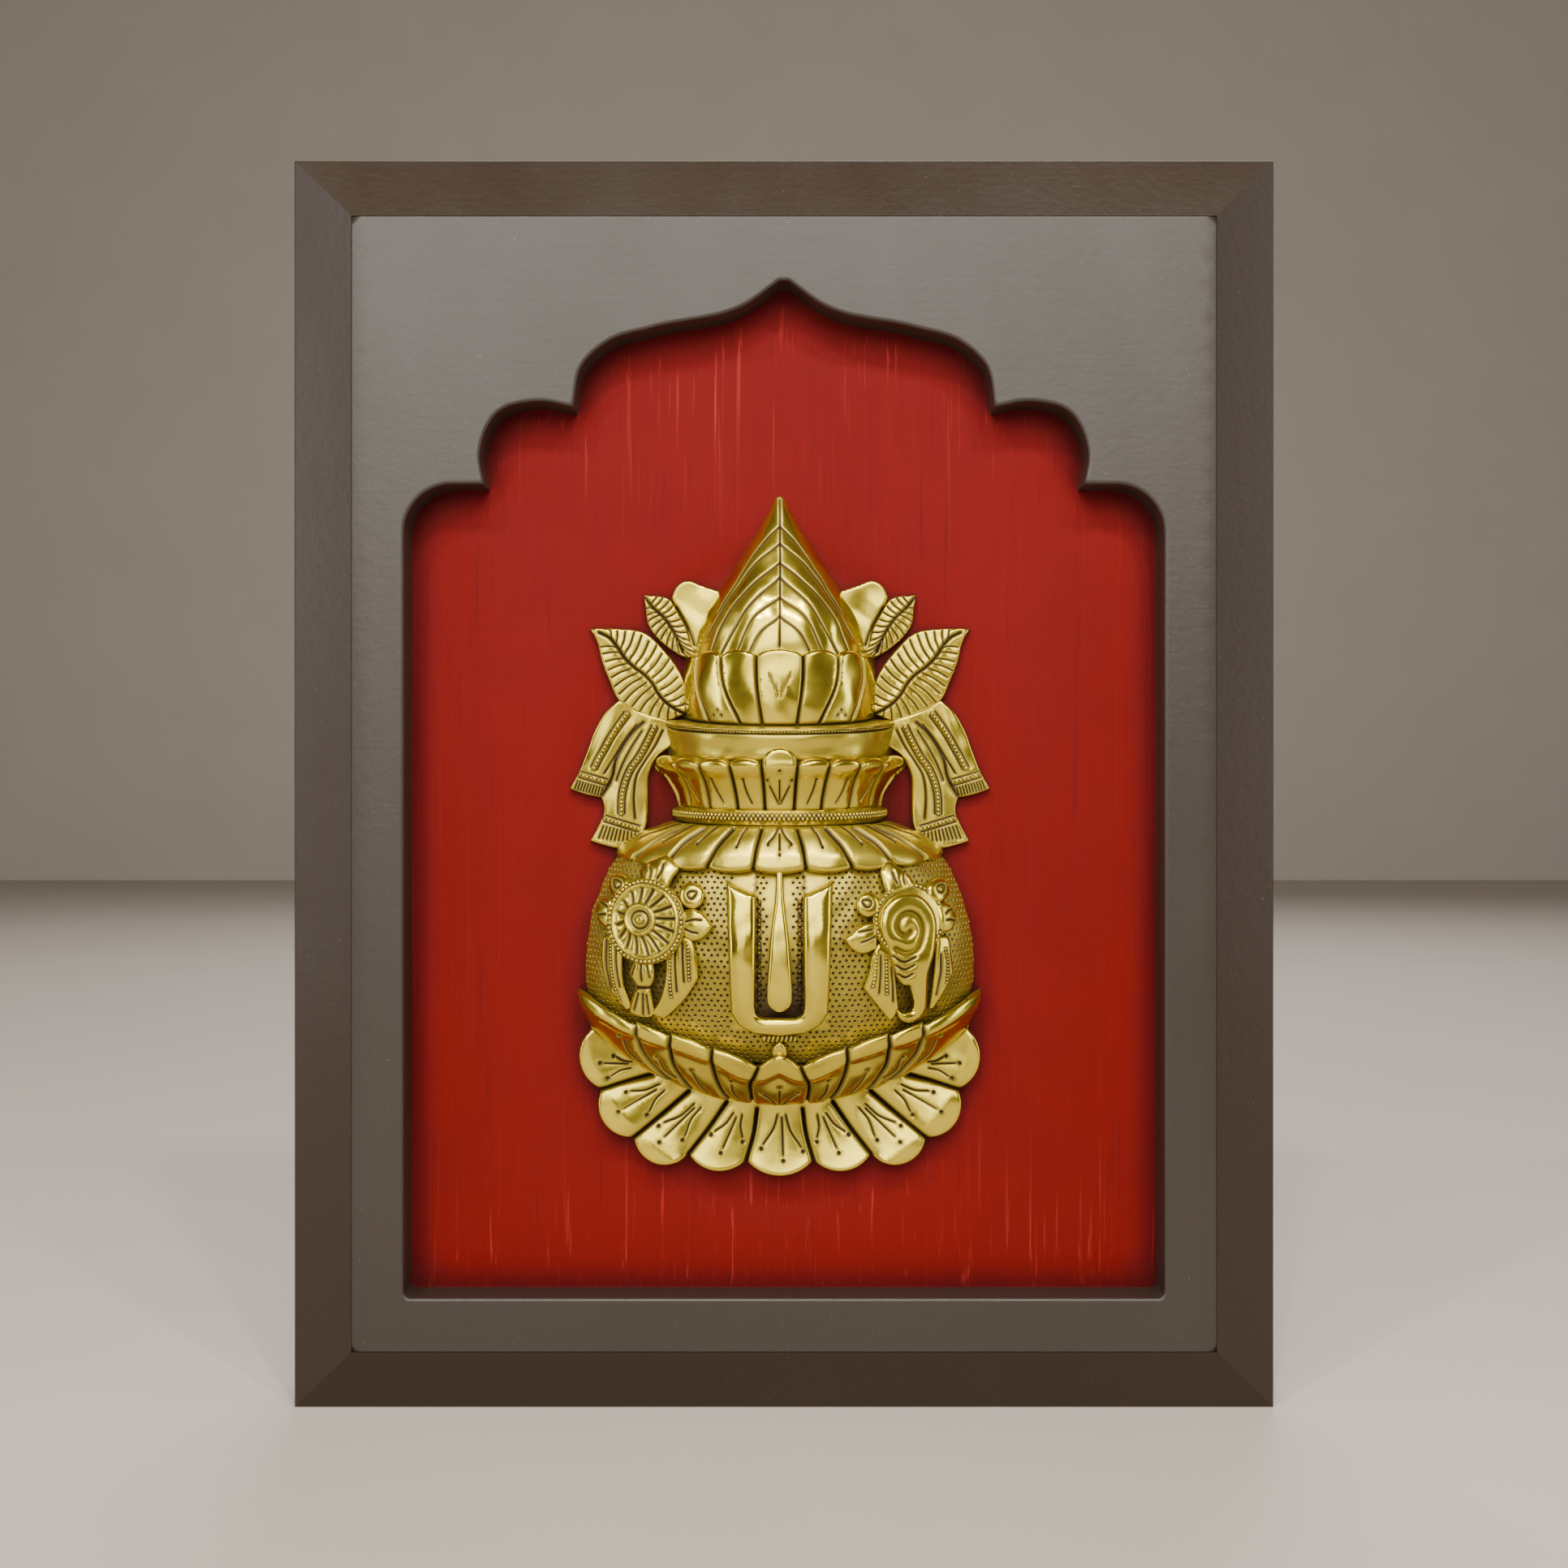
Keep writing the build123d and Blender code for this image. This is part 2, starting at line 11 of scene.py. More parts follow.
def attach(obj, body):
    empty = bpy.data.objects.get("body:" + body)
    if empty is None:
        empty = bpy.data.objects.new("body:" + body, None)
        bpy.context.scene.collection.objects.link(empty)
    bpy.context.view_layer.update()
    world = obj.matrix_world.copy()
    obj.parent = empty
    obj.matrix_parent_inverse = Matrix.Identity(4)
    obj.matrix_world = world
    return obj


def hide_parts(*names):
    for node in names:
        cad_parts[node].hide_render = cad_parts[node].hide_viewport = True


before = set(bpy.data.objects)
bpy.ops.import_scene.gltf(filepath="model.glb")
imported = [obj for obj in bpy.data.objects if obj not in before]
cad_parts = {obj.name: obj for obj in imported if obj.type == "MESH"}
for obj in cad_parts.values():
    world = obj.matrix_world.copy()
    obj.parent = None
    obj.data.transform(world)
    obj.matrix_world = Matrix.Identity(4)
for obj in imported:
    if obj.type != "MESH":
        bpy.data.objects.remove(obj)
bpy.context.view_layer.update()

# Looks of a framed brass kalash relief. Outlines are in millimetres: x from the relief's own
# centre line, z up from the foot of the frame, depth forward from the silk.
MM = 0.001
KALASH_X = -1.2
SILK_Y = -2.0
SHOULDER_LEAN = tan(radians(8))
POT_Z = 131.0
POT = (57.0, 32.0, 46.0)
MID_Z = 177.8
INNER_X = 121.7
INNER_LOW = 18.0
INNER_HIGH = 337.6
PANEL_THICK = 12.0
rng = random.Random(7)


# ---- plane curves ----
def spaced(path, step):
    """The same path with even spacing."""
    path = np.asarray(path, float)
    run = np.r_[0, np.cumsum(np.hypot(*np.diff(path, axis=0).T))]
    count = max(1, round(run[-1] / step))
    at = np.linspace(0, run[-1], count + 1)
    return np.c_[np.interp(at, run, path[:, 0]), np.interp(at, run, path[:, 1])]


def bent(points, step=0.5):
    """Smooth path through the points."""
    p = np.asarray(points, float)
    if len(p) < 3:
        return spaced(p, step)
    d = np.r_[0, np.cumsum(np.hypot(*np.diff(p, axis=0).T))]
    slope = np.gradient(p, d, axis=0)
    t = np.linspace(0, d[-1], int(d[-1] / step * 4) + 8)
    k = np.clip(np.searchsorted(d, t, side="right") - 1, 0, len(d) - 2)
    h = (d[k + 1] - d[k])[:, None]
    s = (t - d[k])[:, None] / h
    a = (1 + 2 * s) * (1 - s) ** 2 * p[k] + s * (1 - s) ** 2 * h * slope[k]
    b = s * s * (3 - 2 * s) * p[k + 1] + s * s * (s - 1) * h * slope[k + 1]
    return spaced(a + b, step)


def chained(runs):
    """The runs, with each later one started where the one before it ended."""
    out = [list(runs[0])]
    for run in runs[1:]:
        out.append([out[-1][-1], *run])
    return out


def joined(*runs, step=0.5):
    """Closed outline of smooth runs that meet at corners. Later runs leave out their first point."""
    return np.concatenate([bent(run, step)[:-1] for run in chained(runs)])


def arc(a, middle, b, step=0.5):
    """Circular arc through three points."""
    (ax, ay), (bx, by), (cx, cy) = a, middle, b
    d = 2 * (ax * (by - cy) + bx * (cy - ay) + cx * (ay - by))
    aa, bb, cc = (x * x + y * y for x, y in (a, middle, b))
    ux = (aa * (by - cy) + bb * (cy - ay) + cc * (ay - by)) / d
    uy = (aa * (cx - bx) + bb * (ax - cx) + cc * (bx - ax)) / d
    r = sqrt((ax - ux) ** 2 + (ay - uy) ** 2)
    t0, t1, t2 = (atan2(y - uy, x - ux) for x, y in (a, middle, b))
    turn = (t2 - t0) % (2 * pi)
    if (t1 - t0) % (2 * pi) > turn:
        turn -= 2 * pi
    t = t0 + turn * np.linspace(0, 1, max(3, int(abs(turn) * r / step)))
    return np.c_[ux + r * np.cos(t), uy + r * np.sin(t)]


def circle(x, z, r, rz=None, step=0.4):
    t = np.linspace(0, 2 * pi, max(12, int(2 * pi * r / step)), endpoint=False)
    return np.c_[x + r * np.cos(t), z + (rz or r) * np.sin(t)]


def closed(path):
    return np.concatenate([path, path[:1]])


def flip(points, side):
    """The points on the side asked for, from a drawing of the left."""
    return np.asarray(points, float) * (1 if side < 0 else -1, 1)


def moved(points, at):
    return np.asarray(points, float) + at


def outline_of(runs, side):
    return joined(*[flip(run, side) for run in runs])


def gap(points, path):
    """Distance from each point to a path."""
    points = np.asarray(points, float)
    a, b = path[:-1], path[1:]
    along = b - a
    length = np.maximum((along ** 2).sum(1), 1e-12)
    out = np.empty(len(points))
    for i in range(0, len(points), 3000):
        q = points[i:i + 3000, None, :] - a
        t = np.clip((q * along).sum(2) / length, 0, 1)
        out[i:i + 3000] = np.sqrt(((q - t[..., None] * along) ** 2).sum(2).min(1))
    return out


def inside(points, loops):
    """Whether each point is inside an odd number of loops."""
    points = np.asarray(points, float)
    odd = np.zeros(len(points), bool)
    for loop in loops:
        a, b = loop, np.roll(loop, -1, axis=0)
        for i in range(0, len(points), 3000):
            x, z = points[i:i + 3000, 0, None], points[i:i + 3000, 1, None]
            span = (a[:, 1] > z) != (b[:, 1] > z)
            rise = np.where(b[:, 1] == a[:, 1], 1e-9, b[:, 1] - a[:, 1])
            at = a[:, 0] + (z - a[:, 1]) * (b[:, 0] - a[:, 0]) / rise
            odd[i:i + 3000] ^= ((span & (x < at)).sum(1) % 2).astype(bool)
    return odd


# ---- surfaces: from drawing coordinates to (x, depth, z) ----
def flat(thick):
    return lambda p: np.c_[p[:, 0], np.full(len(p), thick), p[:, 1]]


BEHIND = flat(-0.2)


def shell_depth(p, grow):
    a, d, c = POT
    left = 1 - (p[:, 0] / (a + grow)) ** 2 - ((p[:, 1] - POT_Z) / (c + grow)) ** 2
    return (d + grow) * np.sqrt(np.maximum(left, 0))


def on_shell(grow):
    """Pot surface, drawn from the front, standing out by a height."""
    return lambda p: np.c_[p[:, 0], shell_depth(p, grow(p) if callable(grow) else grow), p[:, 1]]


class Ring:
    """Half-elliptic stage of the stack. Drawing coordinates: arc length round it, height at its sides."""

    def __init__(self, sections, low_lean, high_lean):
        rows = np.array(sections)
        fine = bent([(z, a) for z, a, _ in sections], 0.2), bent([(z, d) for z, _, d in sections], 0.2)
        self.low, self.high = rows[0, 0], rows[-1, 0]
        self.wide = lambda z: np.interp(z, fine[0][:, 0], fine[0][:, 1])
        self.deep = lambda z: np.interp(z, fine[1][:, 0], fine[1][:, 1])
        leans = [tan(radians(low_lean)), tan(radians(high_lean))]
        self.lean = lambda z: np.interp(z, [self.low, self.high], leans)

    def surface(self, p):
        a, d = self.wide(p[:, 1]), self.deep(p[:, 1])
        turn = np.clip(p[:, 0] / a, -pi / 2, pi / 2)
        depth = d * np.cos(turn)
        return np.c_[a * np.sin(turn), depth, p[:, 1] - self.lean(p[:, 1]) * depth]

    def inner(self, p):
        """Point under the next stage, on the same leaning plane."""
        keep = 0.72
        s = self.surface(p)
        return np.c_[s[:, 0] * keep, s[:, 1] * keep, s[:, 2] + self.lean(p[:, 1]) * s[:, 1] * (1 - keep)]

    def place(self, points):
        """Drawing coordinates of points seen from the front."""
        p = np.asarray(points, float)
        v = p[:, 1].copy()
        for _ in range(8):
            s = np.clip(p[:, 0] / self.wide(v), -0.999, 0.999)
            v = p[:, 1] + self.lean(v) * self.deep(v) * np.sqrt(1 - s * s)
        return np.c_[self.wide(v) * np.arcsin(s), v]

    def end(self, v):
        return self.wide(v) * pi / 2

    def turn(self, share, v):
        """Drawing coordinate of a share of the way round to a side, at a height."""
        return share * self.end(np.asarray(v, float))


TURNS = np.linspace(0, pi / 2, 400)
LENGTHS = np.r_[0, np.cumsum(np.hypot(POT[0] * np.diff(np.sin(TURNS)), POT[1] * np.diff(np.cos(TURNS))))]


def unroll(p):
    """Pot drawing coordinates of points seen from the front."""
    p = np.asarray(p, float)
    rise = np.arcsin((p[:, 1] - POT_Z) / POT[2])
    s = np.clip(p[:, 0] / (POT[0] * np.cos(rise)), -1, 1)
    return np.c_[np.sign(s) * np.interp(np.arcsin(abs(s)), TURNS, LENGTHS) * np.cos(rise), POT[2] * rise]


def pot_surface(p):
    rise = p[:, 1] / POT[2]
    turn = np.sign(p[:, 0]) * np.interp(abs(p[:, 0]) / np.cos(rise), LENGTHS, TURNS)
    x, depth = POT[0] * np.cos(rise) * np.sin(turn), POT[1] * np.cos(rise) * np.cos(turn)
    return np.c_[x, depth, POT_Z + POT[2] * np.sin(rise)]


# ---- engraver's work on a surface ----
# Width and depth of a petal's fine line, and radius and depth of a punched dot.
FINE = (0.28, 0.32)
DOT = (0.45, 0.4)


class Work:
    """Cuts, soft valleys, punched pits, beads and raised cords, in drawing coordinates.

    Points are drawn for the left round a centre, and side 1 puts them on the right.
    """

    def __init__(self, at=(0, 0), side=-1):
        self.at, self.side = at, side
        self.cuts, self.valleys, self.pits, self.beads, self.cords = [], [], [], [], []

    def put(self, points):
        return flip(points, self.side) + self.at

    def cut(self, points, wide, deep):
        self.cuts.append((bent(self.put(points), 0.45), wide, deep))

    def seam(self, points, spread, sink, wide, deep):
        """A soft valley with a line along it, cut in two passes."""
        self.valleys.append((bent(self.put(points), 0.6), spread, sink))
        self.cut(points, 0.5, 0.5)
        self.cut(points, wide, deep)

    def pit(self, point, r, deep):
        self.pits.append((*self.put([point])[0], r, deep))

    def bead_row(self, points, pitch, r, high, rails=0.0):
        """Beads along a path, between two thin lines where rails is their distance from it."""
        points = self.put(points)
        self.beads += [(x, z, r, high) for x, z in spaced(bent(points, 0.2), pitch)]
        if rails:
            for side in (-1, 1):
                self.cuts.append((bent(beside(bent(points, 0.5), side * rails), 0.45), 0.3, 0.28))


def beside(path, offset):
    """The path moved sideways."""
    along = np.gradient(path, axis=0)
    along /= np.maximum(np.hypot(*along.T), 1e-9)[:, None]
    return path + offset * np.c_[-along[:, 1], along[:, 0]]


def nearest(points, spots):
    tree = kdtree.KDTree(len(spots))
    for i, s in enumerate(spots):
        tree.insert((s[0], s[1], 0), i)
    tree.balance()
    found = [tree.find((x, z, 0)) for x, z in points]
    return np.array([f[1] for f in found], int), np.array([f[2] for f in found])


def heights(p, loops, work, edge, roll):
    """Height and patina of each drawing point."""
    h = np.zeros(len(p))
    dark = np.zeros(len(p))
    for path, wide, deep in work.valleys:
        d = gap(p, path)
        h -= deep * np.exp(-d / wide)
        dark = np.maximum(dark, 0.3 * np.exp(-d / wide))
    for path, wide, high in work.cords:
        d = gap(p, path) / wide
        h += high * np.sqrt(np.maximum(0, 1 - d * d))
        dark = np.maximum(dark, 0.8 * np.exp(-((d - 1.15) / 0.25) ** 2))
    for path, wide, deep in work.cuts:
        d = gap(p, path) / wide
        h -= deep * np.exp(-1.3 * d * d)
        dark = np.maximum(dark, np.exp(-0.5 * d * d))
    for spots, sign in ((work.pits, -1), (work.beads, 1)):
        if spots:
            which, d = nearest(p, spots)
            r = np.array([s[2] for s in spots])[which]
            tall = np.array([s[3] for s in spots])[which]
            near = np.sqrt(np.maximum(0, 1 - (d / r) ** 2))
            h += sign * tall * near
            if sign < 0:
                dark = np.maximum(dark, np.where(d < r * 0.8, 1.0, 0.5 * np.exp(-3 * (d / r - 1))))
            else:
                dark = np.maximum(dark, 0.95 * np.exp(-((d / r - 1.05) / 0.3) ** 2))
    for loop, e in zip(loops, edge):
        if e > 0:
            d = np.minimum(gap(p, closed(loop)) / e, 1)
            h -= e * (1 - np.sqrt(np.maximum(0, 1 - (1 - d) ** 2)))
            if roll:
                h += roll * np.exp(-((d * e - 1.1) / 0.8) ** 2)
    return h, dark


def drawing_points(loops, work, edge, fill):
    """Where the mesh needs points: edges, worked lines, spots and an even fill."""
    bounds = [closed(loop) for loop in loops]
    fine = []
    for loop, path, e in zip(loops, bounds, edge):
        for share in (0.1, 0.3, 0.6, 1.0, 1.4):
            for side in (-1, 1):
                if e > 0:
                    ring = beside(path, side * e * share)[:-1]
                    fine.append(ring[gap(ring, path) > 0.93 * e * share])
    for path, wide, _ in work.cuts:
        fine += [path] + [beside(path, side * wide * k) for side in (-1, 1) for k in (0.6, 1.2, 2.3)]
    for path, wide, _ in work.cords:
        fine += [beside(path, side * wide * k) for side in (-1, 1) for k in (0.0, 0.6, 0.97, 1.4)]
    for spots in (work.pits, work.beads):
        for x, z, r, _ in spots:
            around = [(k * r, i + turn) for k, turn in ((0.55, 0), (1.0, 0.5)) for i in range(6)]
            ring = [(x + k * cos(t * pi / 3), z + k * sin(t * pi / 3)) for k, t in around]
            fine.append(np.array([(x, z)] + ring))
    fine = np.concatenate(fine) if fine else np.zeros((0, 2))
    fine = fine[inside(fine, loops)]
    for path in bounds:
        fine = fine[gap(fine, path) > 0.06]
    cells = np.unique(np.round(fine / 0.16).astype(int), axis=0, return_index=True)[1]
    fine = fine[np.sort(cells)]
    everything = np.concatenate(loops)
    low, high = everything.min(0), everything.max(0)
    rows = np.arange(low[1], high[1], fill * 0.87)
    hexes = [(x + (i % 2) * fill / 2, z) for i, z in enumerate(rows) for x in np.arange(low[0], high[0], fill)]
    hexes = np.array(hexes)
    hexes = hexes[inside(hexes, loops)]
    for path in bounds:
        hexes = hexes[gap(hexes, path) > 0.5 * fill]
    if len(fine):
        hexes = hexes[nearest(hexes, fine)[1] > 0.55 * fill]
    return np.concatenate([fine, hexes])


def build(name, nodes, loops, surface, back, work=None, edge=0.8, fill=1.0, hammer=0.08, roll=0.0,
          shape=None, tone=None, at_x=KALASH_X, mat="brass", angle=50):
    """Meshes one worked piece and puts it in place of its CAD nodes."""
    work = work or Work()
    loops = [np.asarray(loop, float) for loop in loops]
    edge = edge if isinstance(edge, (list, tuple)) else [edge] * len(loops)
    inner = drawing_points(loops, work, edge, fill)
    points, links, first = [], [], 0
    for loop in loops:
        points.append(loop)
        links += [(first + i, first + (i + 1) % len(loop)) for i in range(len(loop))]
        first += len(loop)
    points = np.concatenate(points + [inner])
    verts, _, faces, *_ = delaunay_2d_cdt([Vector(q) for q in points], links, [], 0, 1e-5)
    p = np.array([tuple(v) for v in verts])
    centres = np.array([p[list(f)].mean(0) for f in faces])
    faces = [tuple(f) for f, keep in zip(faces, inside(centres, loops)) if keep]
    h, dark = heights(p, loops, work, edge, roll)
    if shape is not None:
        h += shape(p)
    # tone darkens whole areas; for the collar and the bowl it is painted shade.
    if tone is not None:
        dark = np.maximum(dark, tone(p))
    wave = np.sin(p[:, 0] * 0.45 + 1.3 * np.sin(p[:, 1] * 0.25)) * np.sin(p[:, 1] * 0.4 + np.sin(p[:, 0] * 0.2))
    h += hammer * wave
    place = surface(p)
    eps = 0.05
    du = surface(p + (eps, 0)) - surface(p - (eps, 0))
    dv = surface(p + (0, eps)) - surface(p - (0, eps))
    normal = np.cross(dv, du)
    normal /= np.maximum(np.linalg.norm(normal, axis=1), 1e-9)[:, None]
    normal[normal[:, 1] < 0] *= -1
    place = place + normal * h[:, None]
    place[:, 1] = np.maximum(place[:, 1], 0.02)
    uses = {}
    for f in faces:
        for a, b in zip(f, f[1:] + f[:1]):
            uses[(a, b)] = True
    rim = [e for e in uses if (e[1], e[0]) not in uses]
    ids = sorted({i for e in rim for i in e})
    under = {i: len(p) + k for k, i in enumerate(ids)}
    place = np.concatenate([place, back(p[ids])])
    # Painted shade: the walls back to the silk are fully dark where each piece meets what lies behind it.
    dark = np.r_[dark, np.full(len(ids), 1.0)]
    faces += [(b, a, under[a], under[b]) for a, b in rim]
    mesh = bpy.data.meshes.new(name)
    xyz = np.c_[place[:, 0] + at_x, SILK_Y - place[:, 1], place[:, 2]] * MM
    mesh.from_pydata([tuple(v) for v in xyz], [], faces)
    work_mesh = bmesh.new()
    work_mesh.from_mesh(mesh)
    # The attribute holds the engraved patina together with painted shade.
    layer = work_mesh.verts.layers.float.new("patina_and_shade")
    for v, value in zip(work_mesh.verts, dark):
        v[layer] = value
    bmesh.ops.dissolve_degenerate(work_mesh, dist=1e-7, edges=work_mesh.edges)
    bmesh.ops.recalc_face_normals(work_mesh, faces=work_mesh.faces)
    work_mesh.to_mesh(mesh)
    work_mesh.free()
    if sum(f.normal.y * f.area for f in mesh.polygons if len(f.vertices) == 3) > 0:
        mesh.flip_normals()
    mesh.shade_smooth()
    mesh.set_sharp_from_angle(angle=radians(angle))
    return finish_piece(name, mesh, nodes, mat)


def finish_piece(name, mesh, nodes, mat):
    """Hangs the piece on the frame's body in place of its CAD nodes."""
    piece = bpy.data.objects.new(name, mesh)
    bpy.context.scene.collection.objects.link(piece)
    mesh.materials.append(MATERIALS[mat])
    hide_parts(*nodes)
    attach(piece, "frame")
    return piece


# ---- materials ----
def shader(name):
    m = bpy.data.materials.new(name)
    m.use_nodes = True
    tree = m.node_tree
    return m, tree, tree.nodes["Principled BSDF"]


def feed(tree, socket, value):
    """Links a socket to another's output, or sets its constant."""
    if isinstance(value, bpy.types.NodeSocket):
        tree.links.new(value, socket)
    else:
        socket.default_value = (*value, 1) if socket.type == "RGBA" else value


def node(tree, kind, values=None, **settings):
    n = tree.nodes.new(kind)
    for key, value in settings.items():
        setattr(n, key, value)
    for key, value in (values or {}).items():
        feed(tree, n.inputs[key], value)
    return n


def place_of(tree, stretch=(1, 1, 1)):
    """Object coordinates, stretched."""
    at = node(tree, "ShaderNodeTexCoord").outputs["Object"]
    return node(tree, "ShaderNodeMapping", {"Vector": at, "Scale": stretch}).outputs["Vector"]


def noise(tree, scale, stretch=(1, 1, 1), detail=4.0, rough=0.55):
    n = node(tree, "ShaderNodeTexNoise", {"Vector": place_of(tree, stretch), "Scale": scale, "Detail": detail,
                                          "Roughness": rough})
    return n.outputs["Fac"]


def ramp(tree, fac, *stops):
    """Grey ramp: (position, value)."""
    n = node(tree, "ShaderNodeValToRGB", {"Fac": fac})
    while len(n.color_ramp.elements) < len(stops):
        n.color_ramp.elements.new(0.5)
    for e, (at, c) in zip(n.color_ramp.elements, stops):
        e.position = at
        e.color = (c, c, c, 1)
    return n.outputs["Color"]


def blend(tree, fac, a, b):
    """Colour between two colours. The mix node keeps its colour sockets at places 6, 7 and 2."""
    n = node(tree, "ShaderNodeMix", data_type="RGBA")
    for place, value in ((0, fac), (6, a), (7, b)):
        feed(tree, n.inputs[place], value)
    return n.outputs[2]


def sums(tree, how, a, b, clamp=False):
    n = node(tree, "ShaderNodeMath", operation=how, use_clamp=clamp)
    for socket, value in zip(n.inputs, (a, b)):
        feed(tree, socket, value)
    return n.outputs[0]


def bump(tree, height, strength, distance, under=None):
    values = {"Height": height, "Strength": strength, "Distance": distance}
    if under is not None:
        values["Normal"] = under
    return node(tree, "ShaderNodeBump", values).outputs["Normal"]


def put(tree, bsdf, **sockets):
    for key, value in sockets.items():
        feed(tree, bsdf.inputs[key.replace("_", " ")], value)


def brass():
    m, t, b = shader("brass")
    patina_and_shade = node(t, "ShaderNodeAttribute", attribute_name="patina_and_shade").outputs["Fac"]
    # Painted shade: ambient occlusion darkens the brass where pieces meet and shade each other.
    occlusion_shade = node(t, "ShaderNodeAmbientOcclusion", {"Distance": 0.005}, samples=8).outputs["AO"]
    corners = ramp(t, occlusion_shade, (0.22, 1.0), (0.66, 0.0))
    blotch = ramp(t, noise(t, 60), (0.35, 0.0), (0.75, 0.16))
    # Darkening: the mesh attribute (engraved patina plus some painted shade), the painted crevice shade, then
    # random blotches.
    patina_and_painted_shade = sums(t, "MAXIMUM", patina_and_shade, sums(t, "MULTIPLY", corners, 0.75))
    patina_and_painted_shade = sums(t, "ADD", patina_and_painted_shade, blotch, clamp=True)
    tint = blend(t, noise(t, 35, detail=2.0), (0.60, 0.455, 0.035), (0.80, 0.64, 0.08))
    colour = blend(t, patina_and_painted_shade, tint, (0.035, 0.017, 0.005))
    smear = ramp(t, noise(t, 90, (1, 1, 1)), (0.3, 0.14), (0.8, 0.26))
    rough = sums(t, "ADD", smear, sums(t, "MULTIPLY", patina_and_painted_shade, 0.35), clamp=True)
    scratch = noise(t, 900, (1, 1, 0.12), detail=2.0)
    skin = bump(t, noise(t, 170, detail=2.0), 0.07, 0.0006)
    normal = bump(t, scratch, 0.05, 0.0002, skin)
    put(t, b, Base_Color=colour, Metallic=sums(t, "SUBTRACT", 1.0, sums(t, "MULTIPLY", patina_and_painted_shade, 0.45)),
        Roughness=rough, Normal=normal)
    return m


def paint(name, low, high, gloss):
    m, t, b = shader(name)
    cloud = noise(t, 14, detail=3.0)
    colour = blend(t, cloud, low, high)
    specks = ramp(t, noise(t, 1400, detail=1.0), (0.77, 0.0), (0.80, 1.0))
    colour = blend(t, sums(t, "MULTIPLY", specks, 0.25), colour, (0.30, 0.26, 0.22))
    rough = ramp(t, noise(t, 30, (1, 1, 0.4)), (0.3, 0.30), (0.75, 0.40))
    peel = bump(t, noise(t, 420, detail=2.0), 0.09, 0.0006)
    brush = bump(t, noise(t, 700, (0.06, 1, 1), detail=2.0), 0.05, 0.0004, peel)
    put(t, b, Base_Color=colour, Roughness=rough, Normal=brush, IOR=1.5, Specular_IOR_Level=gloss)
    return m


def silk():
    m, t, b = shader("silk")
    at = node(t, "ShaderNodeSeparateXYZ", {"Vector": place_of(t)})
    height = at.outputs["Z"]
    slub = noise(t, 900, (1, 1, 0.014), detail=3.0, rough=0.62)
    long_slub = noise(t, 700, (1, 1, 0.03), detail=3.0, rough=0.6)
    light = ramp(t, slub, (0.60, 0.0), (0.70, 1.0))
    dark = ramp(t, long_slub, (0.28, 1.0), (0.40, 0.0))
    top = ramp(t, sums(t, "SUBTRACT", height, 0.255), (0.0, 0.12), (0.03, 1.0))
    low = ramp(t, sums(t, "SUBTRACT", 0.085, height), (0.0, 0.0), (0.03, 1.0))
    ends = sums(t, "MAXIMUM", top, low)
    base = blend(t, noise(t, 22, detail=3.0), (0.135, 0.0007, 0.0009), (0.185, 0.0013, 0.0013))
    base = blend(t, sums(t, "MULTIPLY", dark, 0.45), base, (0.075, 0.002, 0.002))
    base = blend(t, sums(t, "MULTIPLY", light, sums(t, "MULTIPLY", ends, 0.55)), base, (0.42, 0.03, 0.02))
    # Painted shade: ambient occlusion darkens the silk near the frame, the arch edge and the brass pieces.
    occlusion_shade = node(t, "ShaderNodeAmbientOcclusion", {"Distance": 0.013}, samples=8).outputs["AO"]
    edge = ramp(t, occlusion_shade, (0.35, 1.0), (0.85, 0.0))
    base = blend(t, sums(t, "MULTIPLY", edge, 0.75), base, (0.035, 0.002, 0.003))
    threads = []
    for scale, wander, way in ((700.0, 1.2, "X"), (620.0, 1.5, "Z")):
        values = {"Vector": place_of(t), "Scale": scale, "Distortion": wander, "Detail": 2.0}
        threads.append(node(t, "ShaderNodeTexWave", values, bands_direction=way).outputs["Fac"])
    weave = bump(t, sums(t, "ADD", *threads), 0.22, 0.00025)
    normal = bump(t, slub, 0.30, 0.0004, weave)
    put(t, b, Base_Color=base, Roughness=0.62, Normal=normal, Sheen_Weight=0.04, Sheen_Roughness=0.4,
        Sheen_Tint=(1.0, 0.35, 0.28), Specular_IOR_Level=0.15)
    return m


def wood(name, pale, deep, grain, rough, scale=60.0):
    m, t, b = shader(name)
    figure = node(t, "ShaderNodeTexNoise", {"Vector": place_of(t, grain), "Scale": scale, "Detail": 6.0,
                                            "Roughness": 0.6, "Distortion": 0.6}).outputs["Fac"]
    fleck = noise(t, 1500, (0.2, 1, 0.2), detail=2.0)
    colour = blend(t, ramp(t, figure, (0.3, 0.0), (0.7, 1.0)), pale, deep)
    colour = blend(t, ramp(t, fleck, (0.6, 0.0), (0.8, 0.35)), colour, tuple(c * 0.6 for c in deep))
    put(t, b, Base_Color=colour, Roughness=rough, Normal=bump(t, figure, 0.15, 0.0004))
    return m


def felt(name, pale, deep):
    m, t, b = shader(name)
    colour = blend(t, noise(t, 300), pale, deep)
    put(t, b, Base_Color=colour, Roughness=0.92, Normal=bump(t, noise(t, 900), 0.5, 0.0008), Sheen_Weight=0.3)
    return m


def steel():
    m, t, b = shader("steel")
    worn = noise(t, 400, (1, 1, 0.2))
    colour = blend(t, worn, (0.56, 0.56, 0.54), (0.70, 0.69, 0.66))
    put(t, b, Base_Color=colour, Metallic=1.0, Roughness=ramp(t, worn, (0.3, 0.26), (0.8, 0.42)),
        Normal=bump(t, noise(t, 1200, detail=2.0), 0.08, 0.0003))
    return m


def plain(name, pale, deep, rough):
    m, t, b = shader(name)
    put(t, b, Base_Color=blend(t, noise(t, 6.0), pale, deep), Roughness=rough)
    return m


